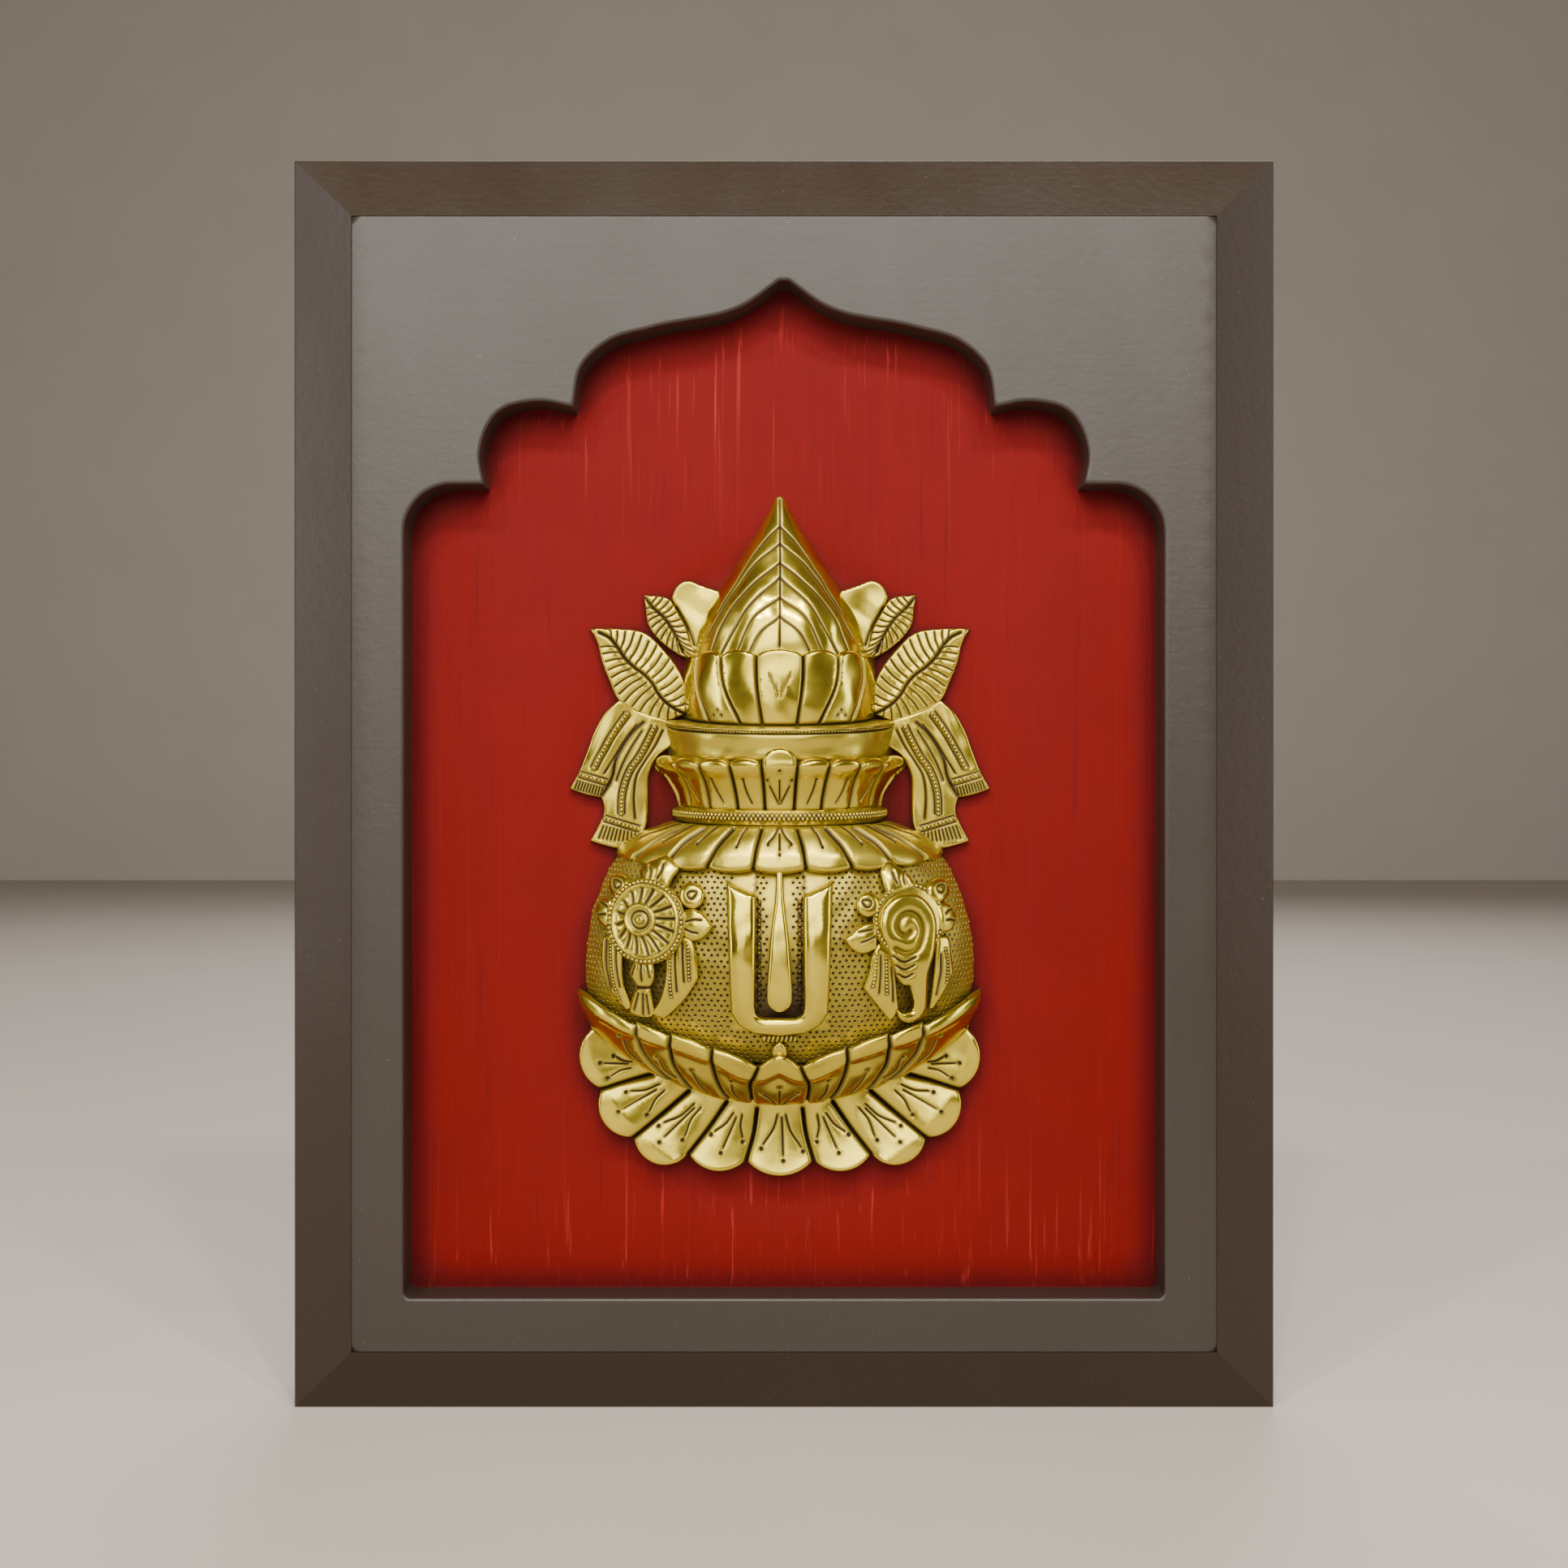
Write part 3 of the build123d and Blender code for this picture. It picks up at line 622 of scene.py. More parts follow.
MATERIALS = {
    "brass": brass(),
    "frame_paint": paint("frame_paint", (0.026, 0.018, 0.013), (0.034, 0.025, 0.019), 0.5),
    # Painted shade: the rails use a darker, warmer copy of the face board's paint.
    "shaded_rail_paint": paint("shaded_rail_paint", (0.022, 0.012, 0.006), (0.029, 0.017, 0.009), 0.3),
    "silk": silk(),
    "bare_wood": wood("bare_wood", (0.60, 0.43, 0.26), (0.40, 0.26, 0.14), (1, 1, 0.12), 0.7),
    "hardboard": wood("hardboard", (0.27, 0.17, 0.10), (0.215, 0.13, 0.073), (1, 1, 1), 0.55, 420.0),
    "wadding": felt("wadding", (0.85, 0.83, 0.78), (0.72, 0.70, 0.65)),
    "steel": steel(),
    "pad": felt("pad", (0.045, 0.045, 0.045), (0.075, 0.072, 0.07)),
}
CAD_LOOKS = {
    "shaded_rail_paint": ("top_rail", "bottom_rail", "left_stile", "right_stile"),
    "bare_wood": ("corner_dowels", "spacer_bottom", "spacer_top", "spacer_left", "spacer_right"),
    "hardboard": ("rear_cover", "silk_board"),
    "wadding": ("wadding",),
    "brass": ("back_bars", "mounting_studs"),
    "steel": ("mounting_washers", "mounting_nuts", "turn_button_left_low", "turn_button_left_high",
              "turn_button_right_low", "turn_button_right_high", "turn_button_screws", "hanger_strap_left",
              "hanger_strap_right", "hanger_ring_left", "hanger_ring_right", "hanger_screws"),
    "pad": ("bumper_pads",),
}
for look, names in CAD_LOOKS.items():
    for name in names:
        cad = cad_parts[name]
        cad.data.materials.clear()
        cad.data.materials.append(MATERIALS[look])


# ---- lobed arch panel ----
def arch_loop():
    """The opening, drawn round the middle of the frame and moved up to it."""
    straight = [[(0, -144.6), (-105.8, -144.6)], [(-107, -143.4)], [(-107, 70.6)]]
    runs = [bent(r, 1.2)[:-1] for r in chained(straight)]
    turn = 13.7 * (1 - cos(pi / 4))
    runs.append(arc((-107, 70.6), (-107 + turn, 84.3 - turn), (-93.3, 84.3), 0.8)[:-1])
    runs.append(bent([(-93.3, 84.3), (-84.4, 84.3)], 0.8)[:-1])
    runs.append(bent([(-84.4, 84.3), (-85.6, 93.0), (-80.2, 104.7), (-69.1, 107.6), (-59.3, 106.0)], 0.8)[:-1])
    runs.append(bent([(-59.3, 106.0), (-56.9, 117.5), (-49.4, 124.5), (-37.1, 128.3), (-10.9, 134.7),
                      (-1.2, 141.6)], 0.8))
    half = np.concatenate(runs)
    return np.concatenate([half, half[::-1][:-1] * (-1, 1)]) + (0, MID_Z)


ARCH = arch_loop()
board = joined([(-INNER_X, INNER_LOW), (INNER_X, INNER_LOW)], [(INNER_X, INNER_HIGH)],
               [(-INNER_X, INNER_HIGH)], [(-INNER_X, INNER_LOW)], step=3.0)
build("Arch_panel", ["arch_panel"], [board, ARCH], flat(PANEL_THICK), flat(0.0), edge=[0.35, 0.9],
      fill=5.0, hammer=0.0, at_x=0.0, mat="frame_paint", angle=60)


# ---- silk over padding ----
def silk_sheet():
    """One layer of silk: the front, its turned sides and the hem behind, cushioned inside the arch."""
    half, low, high = 120.7, 19.0, 336.6
    step = 1.6
    xs = np.linspace(-half, half, round(2 * half / step) + 1)
    zs = np.linspace(low, high, round((high - low) / step) + 1)
    grid = np.array([(x, z) for z in zs for x in xs])
    d = gap(grid, closed(ARCH))
    within = inside(grid, [ARCH])
    near_pot = np.hypot((grid[:, 0] - KALASH_X) / 62, (grid[:, 1] - 150) / 92) - 1
    calm = 1 - np.exp(-np.maximum(near_pot, 0) * 9)
    rise = np.where(within, 1.3 * (1 - np.exp(-d / 7)) * calm, 0)
    rise += np.where(within, 0.12 * np.sin(grid[:, 0] * 0.11) * np.sin(grid[:, 1] * 0.07 + 1) * calm, 0)
    verts = [(x * MM, (SILK_Y - h) * MM, z * MM) for (x, z), h in zip(grid, rise)]
    n, rows = len(xs), len(zs)
    faces = [(j * n + i, j * n + i + 1, (j + 1) * n + i + 1, (j + 1) * n + i)
             for j in range(rows - 1) for i in range(n - 1)]
    border = list(range(n)) + [j * n + n - 1 for j in range(1, rows)]
    border += [(rows - 1) * n + i for i in range(n - 2, -1, -1)] + [j * n for j in range(rows - 2, 0, -1)]
    mid = (low + high) / 2
    last = border
    for y, inset in ((-1.6, -0.3), (2.0, -0.3), (5.6, -0.3), (6.0, 0.4), (6.0, 19.7)):
        fx = (half - inset) / half
        fz = ((high - low) / 2 - inset) / ((high - low) / 2)
        ring = list(range(len(verts), len(verts) + len(border)))
        verts += [(x * fx * MM, y * MM, (mid + (z - mid) * fz) * MM) for x, z in grid[border]]
        for a, b, c, e in zip(last, last[1:] + last[:1], ring, ring[1:] + ring[:1]):
            faces.append((b, a, c, e))
        last = ring
    mesh = bpy.data.meshes.new("Silk")
    mesh.from_pydata(verts, [], faces)
    mesh.shade_smooth()
    mesh.set_sharp_from_angle(angle=radians(60))
    return finish_piece("Silk", mesh, ["silk_cloth"], "silk")


cloth = silk_sheet()


# ---- leaves ----
RIB = [(-51.7, 221.1), (-48.9, 219.7), (-46.4, 216.9), (-44.4, 213.9), (-41.6, 211.1), (-38.5, 208.8),
       (-36.3, 206.3), (-34.9, 203.8), (-32.7, 201.2), (-29.6, 199.0), (-27.3, 197.9)]
BIG_TOP = [(-54.5, 222.3), (-46.5, 222.3), (-38.8, 221.1), (-33.2, 216.1), (-29.0, 210.5), (-27.3, 206.9),
           (-26.6, 202.1), (-26.7, 197.9)]
BIG_LOW = [(-26.7, 197.9), (-32.9, 195.8), (-37.4, 197.0), (-41.6, 198.7), (-46.4, 202.1), (-48.6, 206.9),
           (-50.6, 211.9), (-52.3, 218.3), (-54.5, 222.3)]
SMALL_TOP = [(-38.9, 231.9), (-31.5, 230.5), (-29.0, 226.7), (-26.8, 222.5), (-25.4, 217.8), (-22.0, 213.4)]
SMALL_LOW = [(-22.0, 213.4), (-27.3, 214.1), (-32.4, 217.2), (-35.7, 220.3), (-37.7, 223.4), (-38.4, 227.9),
             (-38.9, 231.9)]
SMALL_RIB = [(-38.5, 231.0), (-36.3, 228.3), (-33.2, 225.4), (-30.6, 221.7), (-29.0, 218.6), (-27.7, 215.5)]
REAR_RIB = [(-29.5, 228.5), (-26.5, 223.0), (-24.5, 217.5)]
REAR = [[(-31.1, 231.1), (-29.2, 234.9), (-27.1, 236.0), (-22.0, 234.6), (-14.0, 231.8)],
        [(-16.0, 214.6)], [(-25.5, 214.6)], [(-26.6, 222.0), (-29.0, 227.0), (-31.1, 231.1)]]


def veins(work, rib, edge_a, edge_b, count):
    """Engraved lines from the rib toward two edges of a leaf."""
    rib = bent(rib, 0.3)
    for edge, (a, b) in ((edge_a, (0.10, 0.92)), (edge_b, (0.18, 0.95))):
        path = bent(edge, 0.3)
        for i in range(count):
            s = (i + 0.5) / count
            foot = rib[int((a + (b - a) * s) * (len(rib) - 1))]
            tip = path[int((0.12 + 0.85 * s ** 1.1) * (len(path) - 1))]
            near, far = 0.07 + rng.uniform(0, 0.05), 0.92 + rng.uniform(-0.06, 0.04)
            p = foot + (tip - foot) * near
            q = foot + (tip - foot) * far
            sway = (q - p)[::-1] * (0.05, -0.05)
            work.cut([p, (p + q) / 2 + sway, q], 0.24, 0.3)


def ridge(path, side, high):
    """A low rounded rise beside a rib."""
    line = bent(flip(path, side), 0.5)
    return lambda p: high * np.exp(-((gap(p, line) - 0.9) / 0.9) ** 2)


def leaf_set(side, word):
    """Big, small and rear leaf of one side."""
    w = Work(side=side)
    w.cut(RIB, 0.5, 0.55)
    veins(w, RIB, BIG_TOP, BIG_LOW[::-1], 14)
    build(f"Big_leaf_{word}", [f"big_leaf_{word}"], [outline_of([BIG_TOP, BIG_LOW[1:]], side)],
          lambda p: np.c_[p[:, 0], 2.9 + 0.5 * np.cos(p[:, 1] * 0.12), p[:, 1]], BEHIND, w, edge=0.7, fill=0.9,
          shape=ridge(RIB, side, 0.45))
    w = Work(side=side)
    w.cut(SMALL_RIB, 0.45, 0.5)
    veins(w, SMALL_RIB, SMALL_TOP, SMALL_LOW[::-1], 11)
    build(f"Small_leaf_{word}", [f"small_leaf_{word}"], [outline_of([SMALL_TOP, SMALL_LOW[1:]], side)],
          flat(2.8), BEHIND, w, edge=0.6, fill=0.9, shape=ridge(SMALL_RIB, side, 0.3))
    w = Work(side=side)
    w.cut(REAR_RIB, 0.4, 0.4)
    build(f"Rear_leaf_{word}", [f"rear_leaf_{word}"], [outline_of(REAR, side)], flat(2.3), BEHIND, w, edge=0.8,
          fill=0.9, hammer=0.2)


# ---- sashes ----
SASH = [[(-46.0, 201.8), (-49.5, 198.8), (-53.1, 192.9), (-55.4, 186.7), (-57.2, 182.0), (-60.2, 176.4)],
        [(-55.4, 174.8), (-51.0, 173.9)],
        [(-50.3, 170.3), (-51.9, 165.9), (-54.3, 161.5)],
        [(-50.1, 160.2), (-44.8, 159.3), (-40.5, 160.4)],
        [(-38.0, 167.0), (-37.7, 174.6), (-37.4, 180.8), (-34.8, 185.8), (-30.7, 188.8)],
        [(-30.7, 196.0)],
        [(-37.0, 197.5), (-46.0, 201.8)]]
PARTING = [(-38.9, 195.6), (-42.2, 192.6), (-45.4, 187.9), (-47.0, 184.4), (-47.8, 180.3), (-48.8, 177.9),
           (-50.8, 174.6)]
OUTER_BEADS = [(-43.6, 197.9), (-46.3, 194.1), (-48.6, 190.6), (-50.4, 187.3), (-51.9, 184.7), (-53.1, 182.3)]
INNER_BEADS = [(-35.7, 194.1), (-37.7, 190.0), (-40.4, 185.2), (-42.5, 182.3), (-44.2, 178.5), (-45.1, 174.6),
               (-45.3, 169.3)]
HEM_BEADS = [[(-57.2, 180.5), (-49.5, 178.2)], [(-50.1, 167.9), (-40.4, 164.9)]]
SASH_LINES = [[(-40.9, 194.8), (-44.2, 190.5), (-47.6, 185.0), (-50.2, 180.8)],
              [(-39.4, 193.0), (-42.6, 188.0), (-44.9, 183.6), (-46.8, 178.8)],
              [(-33.4, 193.2), (-35.6, 188.8), (-38.6, 184.2), (-40.8, 180.4), (-41.7, 174.5), (-41.4, 168.0)]]
FRINGE = 10


def sash_pair(side, word):
    """The two hanging ends of the cloth on one side."""
    w = Work(side=side)
    w.cut(PARTING, 0.55, 0.6)
    for row in (OUTER_BEADS, INNER_BEADS):
        w.bead_row(row, 1.15, 0.5, 0.4, rails=1.0)
    for row in HEM_BEADS:
        w.bead_row(row, 1.1, 0.48, 0.4, rails=0.95)
    for line in SASH_LINES:
        w.cut(line, 0.36, 0.35)
    for i in range(FRINGE):
        s = (i + 0.5) / FRINGE
        x, z = -58.2 + 8.0 * s, 178.9 - 2.2 * s
        w.cut([(x, z), (x - 0.9 + 0.3 * s, z - 2.4)], 0.28, 0.3)
        x, z = -50.9 + 10.0 * s, 166.0 - 2.4 * s
        w.cut([(x, z), (x - 1.4 + 1.4 * s, z - 3.6 + s)], 0.28, 0.3)
    build(f"Sashes_{word}", [f"sashes_{word}"], [outline_of(SASH, side)], flat(2.9), BEHIND, w, edge=0.7,
          fill=0.9, shape=lambda p: 0.35 * np.sin(p[:, 0] * side * 0.55 + p[:, 1] * 0.16))


for side, word in ((-1, "left"), (1, "right")):
    leaf_set(side, word)
    sash_pair(side, word)


# ---- lotus base ----
NOTCHES = [(-53.4, 108.2), (-50.6, 91.1), (-41.5, 77.4), (-26.0, 72.5), (-9.6, 70.5)]
BULGES = [(-57.0, 99.6), (-50.6, 82.4), (-35.2, 69.8), (-17.4, 67.6)]
INNER_ENDS = [(-36.2, 95.1), (-25.8, 90.2), (-15.1, 87.0), (-6.5, 85.0)]
ROOTS = [(-40.0, 98.0), (-31.0, 93.0), (-20.5, 89.0), (-10.8, 86.3)]
BASE_DOTS = [[(-47.3, 100.5), (-51.0, 98.6), (-48.9, 94.3)], [(-43.7, 90.2), (-45.8, 84.8), (-37.8, 83.7)],
             [(-34.4, 80.5), (-34.2, 76.1), (-27.7, 76.5)], [(-19.6, 77.8), (-16.8, 72.8), (-10.6, 75.8)]]
FRONT_DOTS = [(-5.3, 73.9), (1.0, 70.5), (6.6, 73.1)]


def petal_lines(w, root, dots, start, middle):
    """Three bowed lines that fan out from a petal's root to its dots."""
    for k, dot in enumerate(dots):
        way = np.subtract(dot, root)
        bow = way[::-1] * (1, -1) * (0.05 * (k - 1))
        w.pit(dot, 0.72, 0.5)
        w.cut([root + way * start, root + way * middle + bow, root + way * 0.88], 0.3, 0.3)


def lotus_base():
    w = Work()
    lobes = [arc(a, b, c) for a, b, c in zip(NOTCHES, BULGES, NOTCHES[1:])]
    front = arc(NOTCHES[-1], (0, 66.2), (9.6, 70.5))
    foot = arc((54.4, 110.3), (0, 89.0), (-54.4, 110.3))
    left = np.concatenate([r[:-1] for r in lobes])
    outline = np.concatenate([left, front, left[::-1] * (-1, 1), foot[1:-1]])
    for side in (-1, 1):
        w.side = side
        for notch, end in zip(NOTCHES[1:], INNER_ENDS):
            mid = (np.array(notch) + end) / 2 + (0.6, 0.3)
            w.seam([end, mid, notch], 1.6, 0.9, 0.62, 0.6)
        for root, dots in zip(ROOTS, BASE_DOTS):
            petal_lines(w, root, dots, 0.28, 0.58)
    w.side = -1
    petal_lines(w, (0.5, 85.8), FRONT_DOTS, 0.2, 0.5)

    def tips(p):
        """Petals that curl forward toward their tips."""
        far = (np.hypot(p[:, 0], p[:, 1] - 118) - 32) / 20
        return 2.4 * np.clip(far, 0, 1.2) ** 2 - 0.4
    build("Lotus_base", ["lotus_base"], [outline], flat(4.3), BEHIND, w, edge=1.0, fill=1.0, hammer=0.06,
          shape=tips)


# ---- lotus cup ----
RIM = [[(5.9, 99.8), (8.5, 101.8), (13.5, 103.9), (18.7, 105.4)], [(18.7, 104.6), (23.5, 107.3), (30.3, 109.2)],
       [(30.3, 107.9), (34.5, 110.2), (40.2, 112.0)], [(40.2, 110.6), (47.0, 114.0), (57.6, 119.4)]]
FRONT_RIM = [(-5.9, 99.8), (-3.4, 102.0), (0, 103.6), (3.4, 102.0), (5.9, 99.8)]
RIM_LINE = np.array([(0, 102.6), (5.9, 99.8), (18.7, 105.2), (30.3, 108.8), (40.2, 111.5), (57.6, 119.4)])
PARTS = [[(5.9, 99.8), (8.2, 94.5), (8.0, 91.0), (7.4, 87.4)],
         [(18.7, 105.0), (18.2, 98.5), (15.6, 91.6), (13.4, 88.9)],
         [(30.3, 108.4), (29.5, 100.0), (25.8, 93.6), (22.6, 90.4)],
         [(40.2, 111.2), (38.3, 103.7), (33.8, 97.6), (30.8, 94.6)]]
CUP_LINES = [[(13.3, 94.6), (12.8, 92.4), (10.9, 89.9)], [(23.8, 97.8), (22.1, 94.4), (19.8, 91.7)],
             [(33.3, 101.2), (32.0, 98.2), (29.0, 95.9)], [(43.4, 106.5), (42.3, 103.5), (38.5, 100.1)]]
CUP_DOTS = [(13.4, 96.0), (24.4, 98.9), (34.1, 102.5), (44.4, 108.0)]
CUP_HALF = 54.4
CUP_FOOT = 87.5


def lotus_cup():
    def rim_z(x):
        return np.interp(x, RIM_LINE[:, 0], RIM_LINE[:, 1])

    def foot_z(x):
        return CUP_FOOT + 21.8 * (x / CUP_HALF) ** 2

    def grow(p):
        x = abs(p[:, 0])
        s = np.clip((rim_z(x) - p[:, 1]) / np.maximum(rim_z(x) - foot_z(x), 4.0), 0, 1)
        low = np.interp(x, [0, 20, 45], [3.0, 3.3, 4.2])
        return low + (5.3 - low) * (1 - s) ** 1.5

    def back(p):
        x = abs(p[:, 0])
        near_foot = p[:, 1] < foot_z(x) + 0.35 * (15 - 0.15 * x)
        depth = np.where(near_foot, 2.5, np.minimum(shell_depth(p, -0.8), 40))
        return np.c_[p[:, 0], depth, p[:, 1]]

    def fold(p):
        """A soft lip just under the rim."""
        d = gap(np.c_[abs(p[:, 0]), p[:, 1]], bent(RIM_LINE, 1.0))
        return 0.8 * np.exp(-((d - 2.4) / 1.2) ** 2)
    half = np.concatenate([bent(r, 0.4) for r in RIM])
    foot = arc((CUP_HALF, 109.3), (0, CUP_FOOT), (-CUP_HALF, 109.3))
    outline = np.concatenate([half, foot, half[::-1] * (-1, 1), bent(FRONT_RIM, 0.4)[1:-1]])
    w = Work()
    for side in (1, -1):
        w.side = side
        for line in PARTS:
            w.seam(line, 1.1, 0.45, 0.55, 0.55)
        for line, dot in zip(CUP_LINES, CUP_DOTS):
            w.cut(line, *FINE)
            w.pit(dot, *DOT)
    for x in (-5.2, 0.0, 5.2):
        w.cut([(x * 0.15, 88.2), (x * 0.55, 90.6 + 0.3 * (x == 0)), (x * 0.85, 91.8 + (x == 0))], *FINE)
        w.pit((x, 92.6 + 1.6 * (x == 0)), *DOT)
    build("Lotus_cup", ["lotus_cup"], [outline], on_shell(grow), back, w, edge=1.3, fill=0.9, hammer=0.15,
          shape=fold, angle=70)


# ---- pot with its punched ground ----
def pot_edge(over):
    """Left-to-right curve on the pot where a rule over its surface crosses zero."""
    out = []
    for share in np.linspace(-0.9999, 0.9999, 240):
        lo, hi = -0.75, 0.75
        for _ in range(40):
            mid = (lo + hi) / 2
            q = np.array([(share * LENGTHS[-1] * cos(mid), POT[2] * mid)])
            if over(pot_surface(q))[0] < 0:
                lo = mid
            else:
                hi = mid
        out.append((share * LENGTHS[-1] * cos(lo), POT[2] * lo))
    return np.array(out)


def pot_body():
    top = pot_edge(lambda s: s[:, 2] + SHOULDER_LEAN * s[:, 1] - 160.2)
    low = pot_edge(lambda s: s[:, 2] - (101.0 + 16.0 * (abs(s[:, 0]) / 57.5) ** 2))
    outline = np.concatenate([top, low[::-1]])
    w = Work()
    pitch = 1.8
    rows = np.arange(outline[:, 1].min(), outline[:, 1].max(), pitch * 0.87)
    spots = [(x + (i % 2) * pitch / 2 + rng.uniform(-0.2, 0.2), z + rng.uniform(-0.2, 0.2))
             for i, z in enumerate(rows) for x in np.arange(-70, 70, pitch)]
    spots = np.array(spots)
    spots = spots[inside(spots, [outline])]
    spots = spots[gap(spots, closed(outline)) > 0.9]
    front = pot_surface(spots)
    from_middle = abs(front[:, 0])
    under_tilak = (from_middle < 13) & (front[:, 2] > 110.5)
    under_tilak &= ~((from_middle > 3.4) & (from_middle < 6.6))
    w.pits = [(x, z, 0.5, 0.42) for x, z in spots[~under_tilak]]
    for x in (-5.5, 5.5):
        row = unroll([(x, z) for z in np.arange(117.0, 147.0, 1.25)])
        w.beads += [(along, up, 0.5, 0.5) for along, up in row]

    def tone(p):
        """Dark in the tilak's hollow, more so at its foot, and behind the emblems' ribbons."""
        s = pot_surface(p)
        well = (abs(s[:, 0]) < 7.2) & (s[:, 2] > 114)
        behind = (abs(abs(s[:, 0]) - 36.4) < 7.5) & (abs(s[:, 2] - 122.0) < 7.5)
        dark = np.interp(s[:, 2], [116, 124, 146], [0.95, 0.75, 0.3]) + 0.5 * (abs(s[:, 0]) > 6.0)
        return np.where(well, np.minimum(dark, 0.95), np.where(behind, 0.8, 0.16))
    build("Pot", ["pot_body"], [outline], pot_surface, lambda p: pot_surface(p) * (0.9, 0.8, 1.0), w, edge=0.0,
          fill=1.1, hammer=0.2, tone=tone)


# ---- rings of the stack ----
def scalloped(ring, seams, low, high, dip_low=0.0, dip_high=0.0):
    """Outline of a stage whose edges bulge between its seams. seams are (top, bottom) shares round it."""
    def edge(v, shares, bulge):
        out = []
        for a, b in zip(shares, shares[1:]):
            t = np.linspace(0, 1, max(4, int((b - a) * ring.end(v) / 0.45)), endpoint=False)
            out.append(np.c_[ring.end(v) * (a + (b - a) * t), v + bulge * np.sin(pi * t) ** 0.6])
        return np.concatenate(out + [np.array([(ring.end(v) * shares[-1], v)])])
    bottom = edge(low, [s[1] for s in seams], -dip_low)
    top = edge(high, [s[0] for s in seams], dip_high)
    right = np.array([(ring.end(v), v) for v in np.linspace(low, high, 16)])[1:-1]
    return np.concatenate([bottom, right, top[::-1], right[::-1] * (-1, 1)])


def shares(ring, xs, v):
    """Shares round a stage of places on one side, seen from the front, with its ends and the other side."""
    right = [2 / pi * np.arcsin(min(0.999, x / float(ring.wide(v)))) for x in xs]
    return [-1.0] + [-s for s in reversed(right)] + right + [1.0]


def seamed(ring, w, top, foot, line, mix, deep, sink, wide=0.5):
    """Works in the seams of a stage. top and foot: (places, height); line: the heights a seam passes."""
    tops, lows = shares(ring, *top), shares(ring, *foot)
    for a, b in zip(tops[1:-1], lows[1:-1]):
        path = [(ring.turn(s, v), v) for s, v in zip((a, a * mix + b * (1 - mix), b), line)]
        w.seam(path, 0.9, sink, wide, deep)
    return list(zip(tops, lows))


def stamens(ring, w, rows):
    """Bowed lines on both sides. rows: where each starts and ends, its dot and its bow."""
    for side in (-1, 1):
        for start, end, dot, bow in rows:
            a, b, c = ring.place([(x * side, z) for x, z in (start, end, dot)])
            w.cut([a, (a + b) / 2 + (bow * side, 0), b], *FINE)
            w.pit(c, *DOT)


def centre_line(ring, w, line, dot):
    w.cut(ring.place(line), *FINE)
    w.pit(ring.place([dot])[0], 0.5, 0.4)


def ring_piece(name, node_name, ring, outline, work, **kw):
    build(name, [node_name], [outline], ring.surface, ring.inner, work, **kw)


# Even darkening of a whole piece: painted shade.
def even_painted_shade(value):
    return lambda p: np.full(len(p), value)


PLAIN_ENDS = [(-1.0, -1.0), (1.0, 1.0)]


def collar():
    ring = Ring([(158.7, 46.8, 31.2), (160.4, 45.4, 30.9), (163.5, 40.8, 28.9), (168.0, 29.8, 24.6)], 8, 3)
    w = Work()
    seams = seamed(ring, w, ((4.9, 12.6, 20.6, 26.5), 167.0), ((7.2, 20.0, 31.2, 40.6), 159.3),
                   (167.0, 163.2, 159.0), 0.5, 0.6, 0.2)
    dots = (11.7, 160.4), (22.6, 161.2), (32.0, 161.6), (39.6, 162.4)
    starts = (8.6, 166.0), (16.4, 166.4), (23.0, 166.6), (27.6, 166.8)
    stamens(ring, w, [(start, dot, dot, 0.4) for start, dot in zip(starts, dots)]
            + [((0.2, 166.0), (3.1, 161.6), (3.2, 161.2), -0.4)])
    centre_line(ring, w, [(0, 164.0), (0, 159.8)], (0, 158.4))
    # The collar is darkened evenly: painted shade.
    ring_piece("Collar", "shoulder_collar", ring, scalloped(ring, seams, 159.0, 168.0, 1.3), w,
               edge=1.2, fill=0.9, hammer=0.12, roll=0.35, tone=even_painted_shade(0.17))


def neck():
    ring = Ring([(167.4, 29.0, 24.2), (168.2, 29.6, 24.6), (169.0, 30.3, 25.1), (169.9, 30.6, 25.4),
                 (170.8, 30.3, 25.1), (171.4, 29.2, 24.6), (172.0, 28.4, 24.2)], 3, 3)
    w = Work()
    for row, start in ((169.4, 0.0), (170.4, 0.5)):
        end = float(ring.end(row)) - 1
        w.beads += [(x, row, 0.55, 0.45) for x in np.arange(-end + start * 1.3, end, 1.3)]
    ring_piece("Neck", "neck_ring", ring, scalloped(ring, PLAIN_ENDS, 167.4, 172.0), w, edge=0.3, fill=0.7,
               hammer=0.04)


def flare():
    ring = Ring([(171.4, 28.0, 24.2), (175.0, 28.8, 25.0), (180.0, 31.6, 27.4), (184.5, 35.3, 30.0),
                 (185.8, 34.8, 29.8)], 3, 3)
    w = Work()
    seams = seamed(ring, w, ((5.2, 14.4, 23.0, 29.5), 185.0), ((4.0, 11.5, 19.3, 25.0), 171.4),
                   (185.6, 178.5, 171.6), 0.5, 0.55, 0.22)
    dots = (10.0, 179.2), (18.8, 179.4), (26.2, 180.0)
    starts = (7.6, 172.6), (15.6, 172.8), (22.4, 173.4)
    stamens(ring, w, [(start, dot, dot, 0.3) for start, dot in zip(starts, dots)]
            + [((0.3, 172.4), (2.7, 177.2), (3.3, 178.8), 0.0)])
    centre_line(ring, w, [(0, 173.2), (0, 178.8)], (0, 181.4))
    outline = scalloped(ring, seams, 171.4, 184.9, 0.0, 1.4)
    crown_half = float(ring.turn(seams[5][0], 185.0))
    crown = (abs(outline[:, 0]) < crown_half) & (outline[:, 1] > 180)
    outline[crown, 1] += 3.0 * np.sqrt(np.maximum(0, 1 - (outline[crown, 0] / crown_half) ** 2))
    ring_piece("Flare", "petal_flare", ring, outline, w, edge=1.1, fill=0.9, hammer=0.12, roll=0.3)


